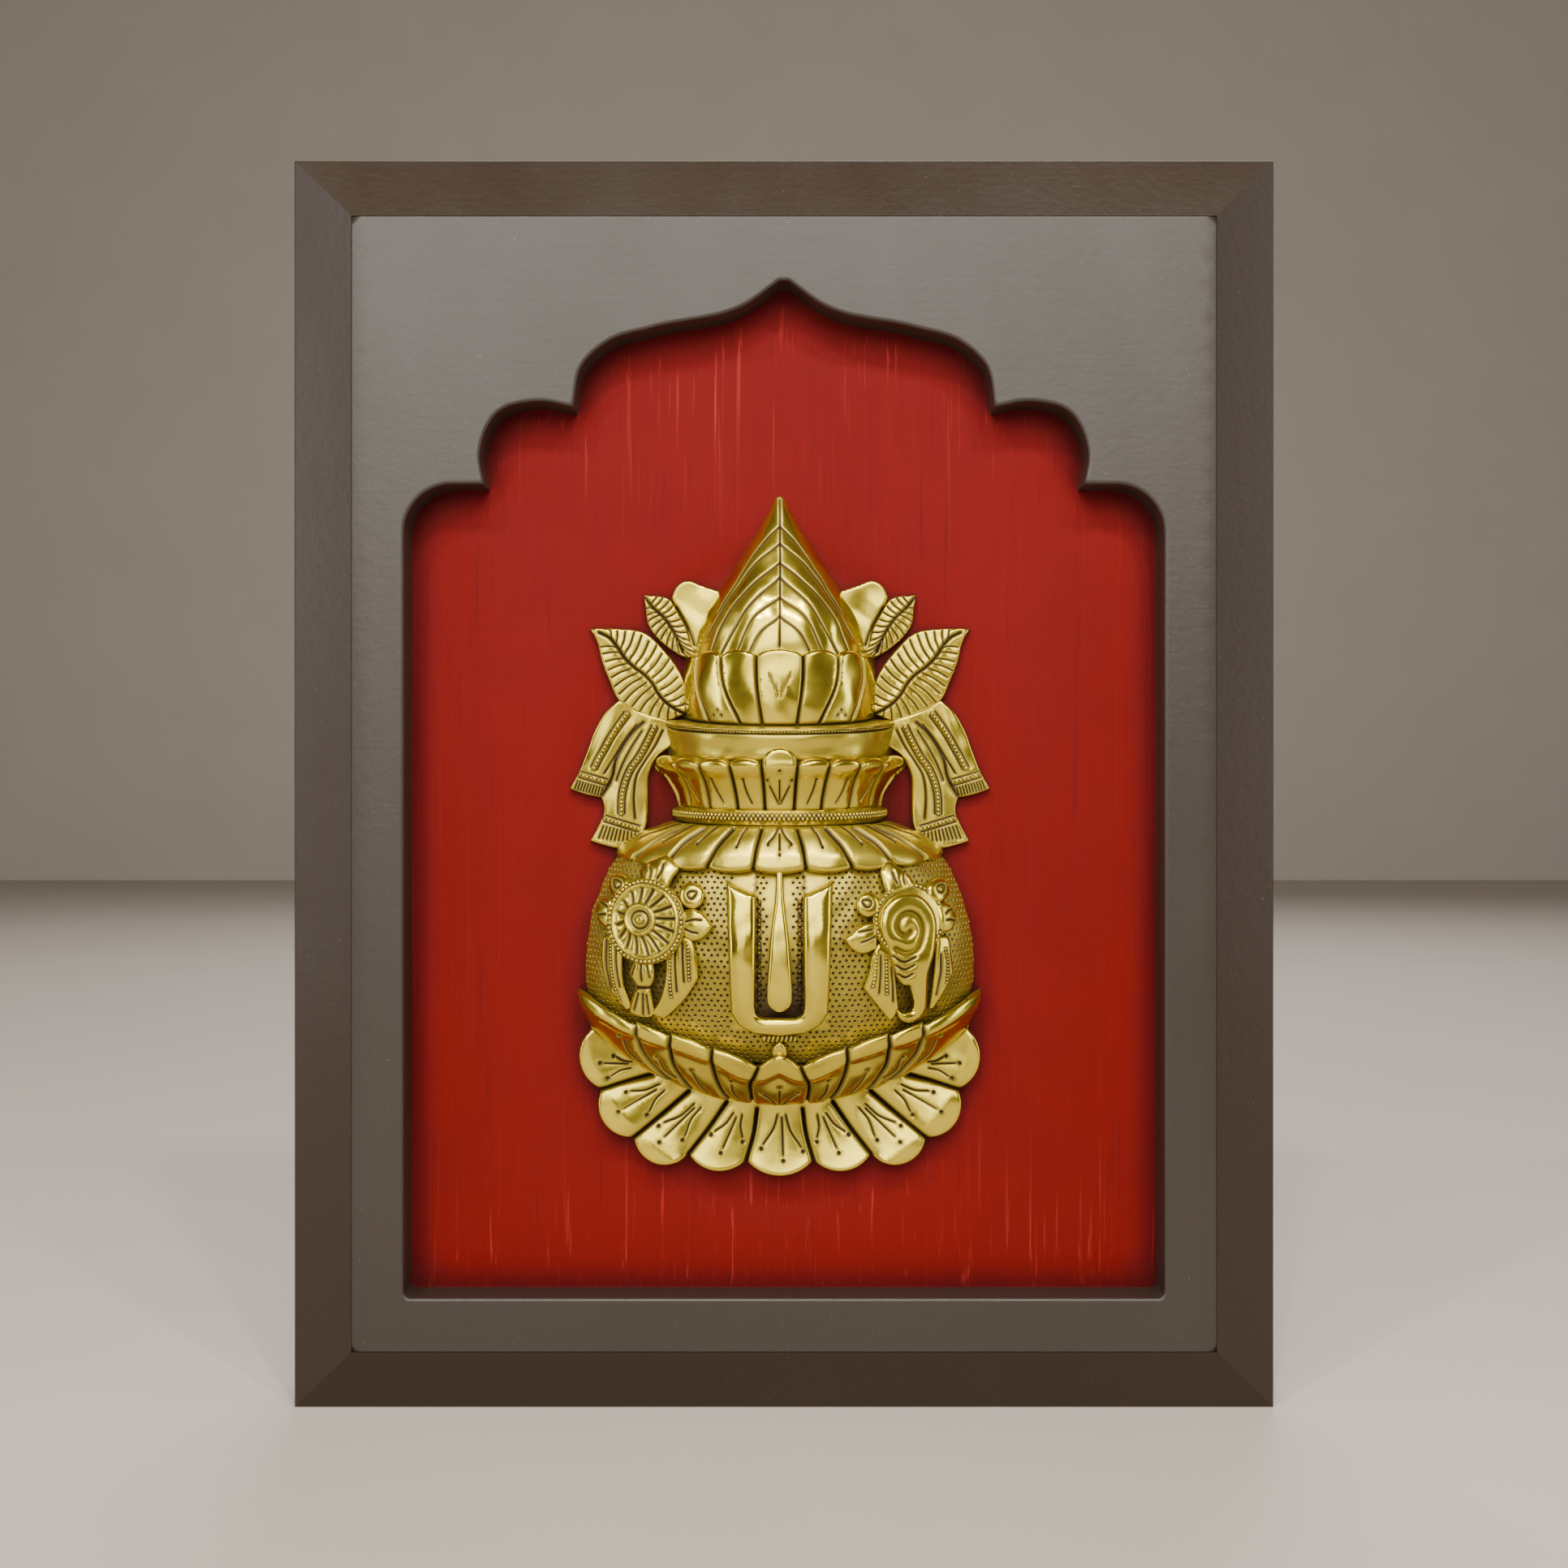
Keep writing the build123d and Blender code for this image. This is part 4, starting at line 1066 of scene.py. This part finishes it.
def bowl():
    ring = Ring([(185.0, 29.6, 25.6), (185.8, 30.6, 26.4), (190.0, 31.6, 27.0), (193.6, 32.4, 27.4),
                 (195.0, 32.4, 27.3), (195.6, 32.8, 27.7), (196.5, 32.7, 27.5)], 3, 7)
    w = Work()
    end = float(ring.end(195.1)) - 0.6
    w.beads = [(x, 195.1, 0.45, 0.4) for x in np.arange(-end, end, 0.96)]
    w.cut([(-end, 194.4), (0, 194.4), (end, 194.4)], 0.3, 0.25)
    # The bowl is darkened evenly: painted shade.
    ring_piece("Bowl", "mouth_bowl", ring, scalloped(ring, PLAIN_ENDS, 185.0, 196.5), w, edge=0.7, fill=1.0,
               hammer=0.16, tone=even_painted_shade(0.22))


def petal_cup():
    ring = Ring([(196.5, 26.4, 21.6), (201.0, 27.2, 22.2), (206.0, 27.4, 22.3), (214.4, 26.6, 22.0)], 7, 0)
    w = Work()
    seams = seamed(ring, w, ((6.6, 16.6, 23.3), 214.0), ((4.9, 11.1, 20.0), 197.0), (214.4, 208.0, 197.0), 0.85,
                   0.5, 0.2, wide=0.45)
    for side in (-1, 1):
        for dx, dz in ((-1.1, 0.0), (1.1, 0.0), (0.0, 1.4)):
            w.pit(ring.place([((17.2 + dx) * side, 197.0 + dz)])[0], 0.5, 0.35)
    for k in range(7):
        z = 203.0 + 0.8 * k
        for side in (-1, 1):
            x = (0.5 + 0.42 * k) * side
            w.cut(ring.place([(x, z - 0.6), (x, z + 0.7)]), 0.12, 0.1)
    ring_piece("Petal_cup", "petal_cup", ring, scalloped(ring, seams, 196.5, 213.4, 0.0, 1.7), w, edge=0.9,
               fill=0.9, hammer=0.14, roll=0.25)


CONE_LOW, CONE_HIGH = 213.4, 260.4
CHEVRONS = [[(0, 224.1), (5.6, 219.7), (8.7, 214.0)], [(0, 229.5), (6.4, 225.3), (12.3, 213.8)],
            [(0, 235.4), (7.2, 229.3), (16.3, 214.4)], [(0, 239.8), (6.4, 235.0), (14.3, 226.1), (19.4, 214.8)],
            [(0, 245.4), (5.6, 241.4), (12.7, 232.5), (20.4, 219.2)],
            [(0, 250.7), (4.0, 247.1), (10.0, 238.5), (17.5, 226.0)]]


def cone():
    ring = Ring([(CONE_LOW, 24.4, 20.2), (217.5, 24.2, 20.0), (221.3, 23.4, 19.4), (228.2, 20.5, 17.0),
                 (238.0, 14.3, 12.0), (251.0, 6.1, 5.4), (CONE_HIGH, 0.9, 0.9)], 0, 0)
    right = np.array([(float(ring.end(v)), v) for v in np.linspace(CONE_LOW, CONE_HIGH, 100)])
    bottom = spaced([(-right[0, 0], CONE_LOW), (right[0, 0], CONE_LOW)], 0.5)
    outline = np.concatenate([bottom[:-1], right, right[::-1] * (-1, 1)])
    outline = outline[np.r_[True, np.hypot(*np.diff(outline, axis=0).T) > 1e-3]][:-1]
    w = Work()
    w.cut([(0, 259.0), (0.1, 240.0), (0, 216.0)], 0.32, 0.4)
    for chevron in CHEVRONS:
        for side in (-1, 1):
            w.cut(ring.place(spaced(bent([(x * side, z) for x, z in chevron]), 1.0)), 0.34, 0.24)
    ring_piece("Cone", "coconut_cone", ring, outline, w, edge=0.0, fill=0.9, hammer=0.14,
               shape=lambda p: 0.9 * np.exp(-abs(p[:, 0]) / 1.8) * np.clip((p[:, 1] - 214) / 10, 0.2, 1))


# ---- tilak ----
def pot_back(p):
    return np.c_[p[:, 0], shell_depth(p, -0.6), p[:, 1]]


def tilak():
    outline = joined([(6.4, 148.0), (14.7, 151.7)], [(13.4, 115.5)], [(11.2, 112.2), (6.8, 109.7)],
                     [(0, 109.2), (-6.8, 109.7)], [(-11.2, 112.2), (-13.4, 115.5)], [(-14.7, 151.7)],
                     [(-6.4, 148.0)], [(-6.6, 117.2)], [(-6.0, 115.1), (-4.4, 114.2)], [(4.4, 114.2)],
                     [(6.0, 115.1), (6.6, 117.2)], [(6.4, 148.0)], step=0.4)
    build("Tilak", ["tilak_u"], [outline], on_shell(4.3), pot_back, edge=1.5, fill=0.8, hammer=0.12,
          shape=lambda p: 0.5 * np.exp(-((gap(p, closed(outline)) - 3.2) / 1.8) ** 2))
    stroke = joined([(0.95, 154.9), (1.5, 144.8), (2.4, 137.3), (3.0, 129.7), (3.55, 122.2)],
                    [(3.1, 118.0), (0.0, 116.0), (-3.1, 118.0), (-3.55, 122.2)],
                    [(-3.0, 129.7), (-2.4, 137.3), (-1.5, 144.8), (-0.95, 154.9)], [(0.95, 154.9)], step=0.35)
    swell = on_shell(lambda p: 3.4 + 1.4 * np.clip((150 - p[:, 1]) / 30, 0, 1))
    build("Tilak_stroke", ["tilak_stroke"], [stroke], swell, pot_back, edge=1.2, fill=0.6, hammer=0.1)
    w = Work()
    for x in np.arange(-3.6, 3.7, 1.2):
        w.cut([(x - 0.3, 107.2), (x + 0.3, 109.4)], 0.26, 0.35)
    bar = joined([(-4.4, 107.3), (-4.8, 108.3), (-4.4, 109.3)], [(4.4, 109.3)], [(4.8, 108.3), (4.4, 107.3)],
                 [(-4.4, 107.3)], step=0.3)
    build("Rope_bar", ["tilak_u"], [bar], on_shell(2.6), pot_back, w, edge=0.8, fill=0.5, hammer=0.0)
    bud = joined([(0, 107.6), (-1.9, 105.6), (-2.2, 103.6), (0, 102.0)],
                 [(2.2, 103.6), (1.9, 105.6), (0, 107.6)], step=0.3)
    build("Bud", ["tilak_u"], [bud], on_shell(3.4), pot_back, edge=1.4, fill=0.5, hammer=0.0)


# ---- wheel and conch: drawn round their own centres ----
EMBLEM_LIFT = 4.4
WHEEL_AT = (-36.9, 140.3)
CONCH_AT = (35.9, 140.1)


def emblem_part(name, node_name, loop, w, lift=0.0, fill=0.6, edge=0.8, shape=None):
    build(name, [node_name], [loop], on_shell(EMBLEM_LIFT + lift), pot_back, w, edge=edge, fill=fill,
          hammer=0.08, shape=shape)


def around(at, runs):
    """Outline of runs drawn round a centre."""
    return joined(*[moved(run, at) for run in runs], step=0.35)


def teardrop(x, z, dx, dz):
    """Outline of a drop cut in a round lobe, pointing along a direction."""
    n = sqrt(dx * dx + dz * dz)
    ax, az = dx / n, dz / n
    line = []
    for i in range(13):
        t = 2 * pi * i / 12
        u, v = 1.3 * cos(t), 0.75 * sin(t) * (1.25 - 0.6 * cos(t))
        line.append((x + u * ax - v * az, z + u * az + v * ax))
    return line


# Petals, buds and finials: the runs of an outline, and the lines cut in it.
WHEEL_LOBES = {
    "Chakra_finial": ([[(0.2, 10.2), (-2.1, 13.5), (0.7, 16.2)], [(3.2, 17.4), (5.4, 18.6)],
                       [(7.6, 16.6), (9.2, 14.4)], [(7.6, 12.2), (6.4, 9.4)], [(0.2, 10.2)]],
                      [[(1.2, 14.8), (1.6, 12.8), (1.2, 11.4)], [(5.2, 15.6), (4.6, 13.0), (3.4, 11.4)]]),
    "Chakra_bud_left": ([circle(-7.6, 9.4, 3.2)], [teardrop(-8.0, 9.8, -1, 1)]),
    "Chakra_petal_left": ([[(-9.6, 5.6), (-12.9, 5.6), (-14.3, 3.1), (-13.9, 0.0), (-11.5, -1.9), (-9.4, -1.2)],
                           [(-9.6, 5.6)]],
                          [[(-12.6, 4.7), (-11.5, 4.0), (-10.4, 3.5)],
                           [(-13.2, 1.1), (-12, 1.3), (-10.9, 1.4)]]),
    "Chakra_bud_right": ([circle(12.9, 7.2, 3.5)], [teardrop(13.3, 7.4, 1, 0.6)]),
    "Chakra_petal_right": ([[(9.9, 3.1), (13.9, 3.7), (16.6, 1.9), (18.9, -1.0)],
                            [(16.4, -3.9), (13.6, -5.0), (10.4, -3.9)], [(9.9, 3.1)]],
                           [[(11.6, 0.2), (13.6, 0.7), (15.8, 0.6)],
                            [(11.4, -1.9), (13.0, -2.6), (14.8, -2.9)]]),
}
CONCH_LOBES = {
    "Shankha_finial": ([[(-6.4, 7.4), (-7.5, 11.1), (-8.2, 13.9)], [(-7.2, 15.8), (-5.6, 17.1)],
                        [(-3.8, 15.5), (0.3, 12.3)], [(1.4, 9.4)], [(-6.4, 7.4)]],
                       [[(-5.0, 13.4), (-4.6, 11.6), (-3.9, 10.4)],
                        [(-1.9, 13.4), (-2.0, 11.6), (-1.7, 10.4)]]),
    "Shankha_bud_left": ([circle(-11.8, 5.0, 3.3)], [teardrop(-12.4, 5.3, -1, 0.5)]),
    "Shankha_petal_left": ([[(-9.4, 0.6), (-13.8, -0.5), (-16.6, -2.8), (-18.4, -4.2)],
                            [(-16.2, -7.0), (-13.5, -8.2), (-9.4, -7.0)], [(-9.4, 0.6)]],
                           [[(-14.6, -2.3), (-12.6, -2.0), (-10.7, -1.6)],
                            [(-13.8, -5.2), (-11.8, -4.5), (-10.0, -3.6)]]),
    "Shankha_bud_right": ([circle(8.0, 8.4, 3.3)], [teardrop(8.6, 8.8, 1, 0.8)]),
    "Shankha_petal_right": ([[(7.2, 4.6), (10.4, 4.8), (12.6, 2.4), (13.2, -0.6)], [(11.6, -2.8), (8.4, -3.0)],
                             [(7.2, 4.6)]],
                            [[(9.6, 1.9), (10.8, 2.8), (11.8, 3.0)], [(9.8, 0.1), (11.2, 0.2), (12.4, -0.2)]]),
}
# Ribbon ends: the runs of an outline, lines with their width and depth, rows of beads, and the lift.
WHEEL_RIBBONS = {
    "Chakra_ribbon_right": (
        [[(5.6, -5.4), (10.4, -3.6), (13.1, -4.6)], [(14.3, -9.4), (14.8, -15.2)],
         [(11.1, -21.0), (5.4, -26.9)], [(1.2, -25.7)], [(3.3, -22.8), (5.4, -16.6), (5.8, -9.7), (5.6, -5.4)]],
        [([(10.4, -5.6), (10.6, -10.4), (10.9, -16.2)], 0.34, 0.4),
         ([(8.5, -7.2), (8.5, -13.0), (8.9, -19.0)], 0.34, 0.4)],
        [[(12.0, -5.8), (12.2, -10.0), (12.4, -15.6)], [(7.3, -8.6), (7.0, -14.4), (7.4, -20.4)]], -1.3),
    "Chakra_ribbon_left": (
        [[(-6.4, -6.8), (-9.4, -3.8), (-12.4, -4.6)], [(-13.0, -9.4), (-12.3, -15.0)],
         [(-10.6, -19.6), (-5.9, -25.1)], [(-4.2, -24.5)], [(-6.2, -18.8), (-6.9, -12.8), (-6.4, -6.8)]],
        [([(-11.2, -5.6), (-11.4, -11.9), (-10.1, -18.8)], 0.34, 0.4),
         ([(-8.4, -7.0), (-8.3, -12.5), (-7.2, -18.6)], 0.3, 0.35)],
        [[(-9.9, -6.2), (-9.8, -12.5), (-9.0, -17.6), (-7.2, -22.6)]], -1.6),
}
CONCH_RIBBONS = {
    "Shankha_ribbon_left": (
        [[(-9.0, -5.4), (-10.6, -8.5), (-11.4, -13.2), (-13.0, -17.7)], [(-9.4, -22.4), (-5.6, -27.4)],
         [(-3.1, -24.6)], [(-4.0, -16.3), (-4.6, -8.7)], [(-9.0, -5.4)]],
        [([(-8.4, -8.8), (-8.4, -13.6), (-8.8, -19.2)], 0.34, 0.42),
         ([(-5.4, -12.2), (-5.0, -17.0), (-4.9, -21.6)], 0.34, 0.42)],
        [[(-9.6, -8.4), (-9.8, -12.6), (-10.6, -17.2)], [(-6.9, -9.6), (-6.8, -14.0), (-6.7, -19.4)]], -1.3),
    "Shankha_ribbon_right": (
        [[(7.6, -4.4), (10.6, -4.4), (12.0, -9.8), (12.6, -14.6)], [(10.4, -19.3), (6.9, -24.3)],
         [(5.6, -24.6)], [(6.6, -17.5), (7.2, -10.4), (7.6, -4.4)]],
        [([(8.6, -9.2), (8.6, -14.2), (7.4, -20.4)], 0.34, 0.42)],
        [[(9.9, -7.8), (10.6, -12.0), (10.4, -17.2)]], -1.6),
}


def trimmings(at, node_name, lobes, ribbons):
    """The domed lobes round an emblem, then its hanging ribbon ends."""
    for name, (runs, lines) in lobes.items():
        w = Work(at)
        for line in lines:
            w.cut(line, 0.32, 0.4)
        outline = around(at, runs)
        mid = outline.mean(0)
        emblem_part(name, node_name, outline, w, lift=-0.9, edge=0.9,
                    shape=lambda p: 0.9 * np.exp(-(np.hypot(*(p - mid).T) / 3.5) ** 2))
    for name, (runs, lines, bead_rows, lift) in ribbons.items():
        w = Work(at)
        for line, wide, deep in lines:
            w.cut(line, wide, deep)
        for row in bead_rows:
            w.bead_row(row, 0.95, 0.4, 0.3)
        emblem_part(name, node_name, around(at, runs), w, lift=lift)


TASSEL = [[(-3.0, -10.2), (-4.2, -14.6), (-2.7, -17.6), (-2.4, -18.4)],
          [(-4.0, -21.6), (-4.6, -25.6), (-2.6, -26.6), (-0.8, -26.9), (1.2, -26.6), (2.4, -25.9)],
          [(1.8, -21.6), (1.2, -18.4)], [(2.5, -15.8), (2.2, -10.2)], [(-3.0, -10.2)]]
TASSEL_LINES = [[(-2.6, -12.0), (-3.4, -14.6)], [(-0.9, -11.8), (-0.8, -16.2)], [(0.8, -12.0), (1.6, -15.2)],
                [(-1.9, -19.8), (-3.2, -24.6)], [(-0.6, -19.8), (-0.6, -25.8)], [(0.4, -20.2), (1.1, -25.4)]]
SPOKES = 16


def chakra():
    at, n = WHEEL_AT, "chakra_emblem"
    trimmings(at, n, WHEEL_LOBES, WHEEL_RIBBONS)
    w = Work(at)
    for line in TASSEL_LINES:
        w.cut(line, 0.32, 0.42)
    w.cut([(-2.6, -18.3), (1.6, -18.3)], 0.5, 0.7)
    emblem_part("Chakra_tassel", n, around(at, TASSEL), w, lift=-0.6, edge=1.1,
                shape=lambda p: 0.6 * np.exp(-((p[:, 1] - at[1] + 14) / 2.6) ** 2))
    w = Work()
    hub = np.array(at) + (-1.4, 0.5)
    turns = np.linspace(0, 2 * pi, 54)[:-1]
    w.beads = [(at[0] + 10.3 * cos(t), at[1] + 10.9 * sin(t), 0.55, 0.45) for t in turns] + [(*hub, 1.2, 0.5)]
    w.cords = [(closed(circle(*at, 9.1, 9.8)), 0.55, 0.5), (closed(circle(*hub, 3.9)), 0.6, 0.5)]
    w.cut(closed(circle(*hub, 2.4)), 0.34, 0.45)
    for k in range(SPOKES):
        t = 2 * pi * (k + 0.3) / SPOKES
        w.cut([hub + (4.7 * cos(t), 4.7 * sin(t)), np.array(at) + (8.3 * cos(t), 9.0 * sin(t))], 0.4, 0.55)
    emblem_part("Chakra_disc", n, circle(*at, 11.2, 11.8), w, lift=0.4, fill=0.5,
                shape=lambda p: -0.5 * np.exp(-((np.hypot(*(p - hub).T) - 6.4) / 2.2) ** 2))


SPIRAL = [(0.2, -2.3), (-1.3, -3.3), (-3.0, -2.4), (-3.6, -0.3), (-2.5, 2.0), (0.0, 2.9), (2.5, 1.6),
          (3.6, -0.9), (3.3, -4.4), (2.0, -7.2), (-0.9, -8.3), (-4.2, -6.9)]
SHELL_LINES = [[(-4.9, -9.0), (-1.9, -10.6), (1.4, -9.4)], [(-4.2, -11.5), (-1.9, -12.7), (1.0, -11.6)],
               [(-3.5, -14.0), (-1.7, -14.9), (0.5, -14.0)]]
SHELL = [[(7.9, -1.0), (7.8, -4.0), (6.9, -9.1), (5.4, -13.8), (5.0, -20.1), (4.6, -24.7), (2.5, -27.4),
          (-0.6, -28.0), (-3.1, -26.5), (-3.2, -24.4)],
         [(-1.0, -25.0), (0.8, -24.6), (1.2, -22.4), (0.6, -19.8), (0.0, -17.6)],
         [(-1.9, -17.2), (-3.2, -15.6), (-4.6, -12.0), (-6.0, -6.8), (-7.8, -3.1), (-8.4, 0.6), (-7.6, 3.8),
          (-5.0, 6.8), (-1.3, 8.3), (2.5, 7.7), (5.6, 5.3), (7.4, 2.0), (7.9, -1.0)]]


def shankha():
    at, n = CONCH_AT, "shankha_emblem"
    trimmings(at, n, CONCH_LOBES, CONCH_RIBBONS)
    w = Work()
    w.beads = [(at[0] - 0.3 + 9.4 * cos(t), at[1] + 0.6 + 9.4 * sin(t), 0.5, 0.4)
               for t in np.linspace(radians(-30), radians(235), 38)]
    emblem_part("Shankha_rim", n, circle(at[0] - 0.3, at[1] + 0.6, 10.2), w, lift=-0.8, edge=0.7)
    w = Work(at)
    w.seam(SPIRAL, 1.0, 1.3, 0.5, 0.7)
    for line in SHELL_LINES:
        w.cut(line, 0.4, 0.6)
    emblem_part("Shankha_shell", n, around(at, SHELL), w, lift=0.9, fill=0.5, edge=1.6)



MAKERS = (lotus_base, lotus_cup, pot_body, collar, neck, flare, bowl, petal_cup, cone, tilak, chakra, shankha)
for make in MAKERS:
    make()


# ---- room: floor, backdrop, light and camera ----
def stage_plane(name, corners, mat):
    mesh = bpy.data.meshes.new(name)
    mesh.from_pydata(corners, [], [(0, 1, 2, 3)])
    o = bpy.data.objects.new(name, mesh)
    bpy.context.scene.collection.objects.link(o)
    mesh.materials.append(mat)


pale = plain("pale_floor", (0.56, 0.50, 0.45), (0.62, 0.56, 0.50), 0.6)
stage_plane("floor", [(-9, -9, 0), (9, -9, 0), (9, 3, 0), (-9, 3, 0)], pale)
stage_plane("backdrop", [(-9, 3, 0), (9, 3, 0), (9, 3, 6), (-9, 3, 6)], pale)


CENTRE = (0, 0, 0.178)


def lamp(name, at, size, watts, colour, shape="RECTANGLE"):
    data = bpy.data.lights.new(name, "AREA")
    data.shape = shape
    data.size, data.size_y = size
    data.energy = watts
    data.color = colour
    o = bpy.data.objects.new(name, data)
    o.location = at
    o.rotation_euler = (Vector(CENTRE) - Vector(at)).to_track_quat("-Z", "Y").to_euler()
    o.visible_camera = False
    bpy.context.scene.collection.objects.link(o)


lamp("high_panel", (-0.1, -1.5, 0.92), (1.7, 1.0), 30, (1.0, 0.97, 0.90))
lamp("mid_panel", (-0.35, -1.7, 0.30), (0.7, 0.4), 2.0, (1.0, 0.96, 0.90))
lamp("left_strip", (-1.3, -0.5, 0.5), (0.25, 1.0), 6, (0.95, 0.97, 1.0))
lamp("right_strip", (1.3, -0.4, 0.45), (0.25, 1.0), 5, (0.95, 0.97, 1.0))
lamp("back_panel", (0.2, 1.6, 1.4), (1.4, 1.0), 22, (1.0, 0.97, 0.94))
for i, x in enumerate((-0.45, -0.12, 0.2, 0.5)):
    lamp(f"spot_{i}", (x, -0.75 - 0.1 * (i % 2), 1.15), (0.05, 0.05), 4.2, (1.0, 0.95, 0.85), "ELLIPSE")

world = bpy.data.worlds.new("room")
bpy.context.scene.world = world
world.use_nodes = True
world.node_tree.nodes["Background"].inputs["Color"].default_value = (0.52, 0.45, 0.38, 1)
world.node_tree.nodes["Background"].inputs["Strength"].default_value = 0.22

lens = bpy.data.cameras.new("camera")
lens.lens = 44.1
lens.sensor_width = 36
camera = bpy.data.objects.new("camera", lens)
camera.location = (0, -0.554, 0.1778)
camera.rotation_euler = (pi / 2, 0, 0)
bpy.context.scene.collection.objects.link(camera)
bpy.context.scene.camera = camera
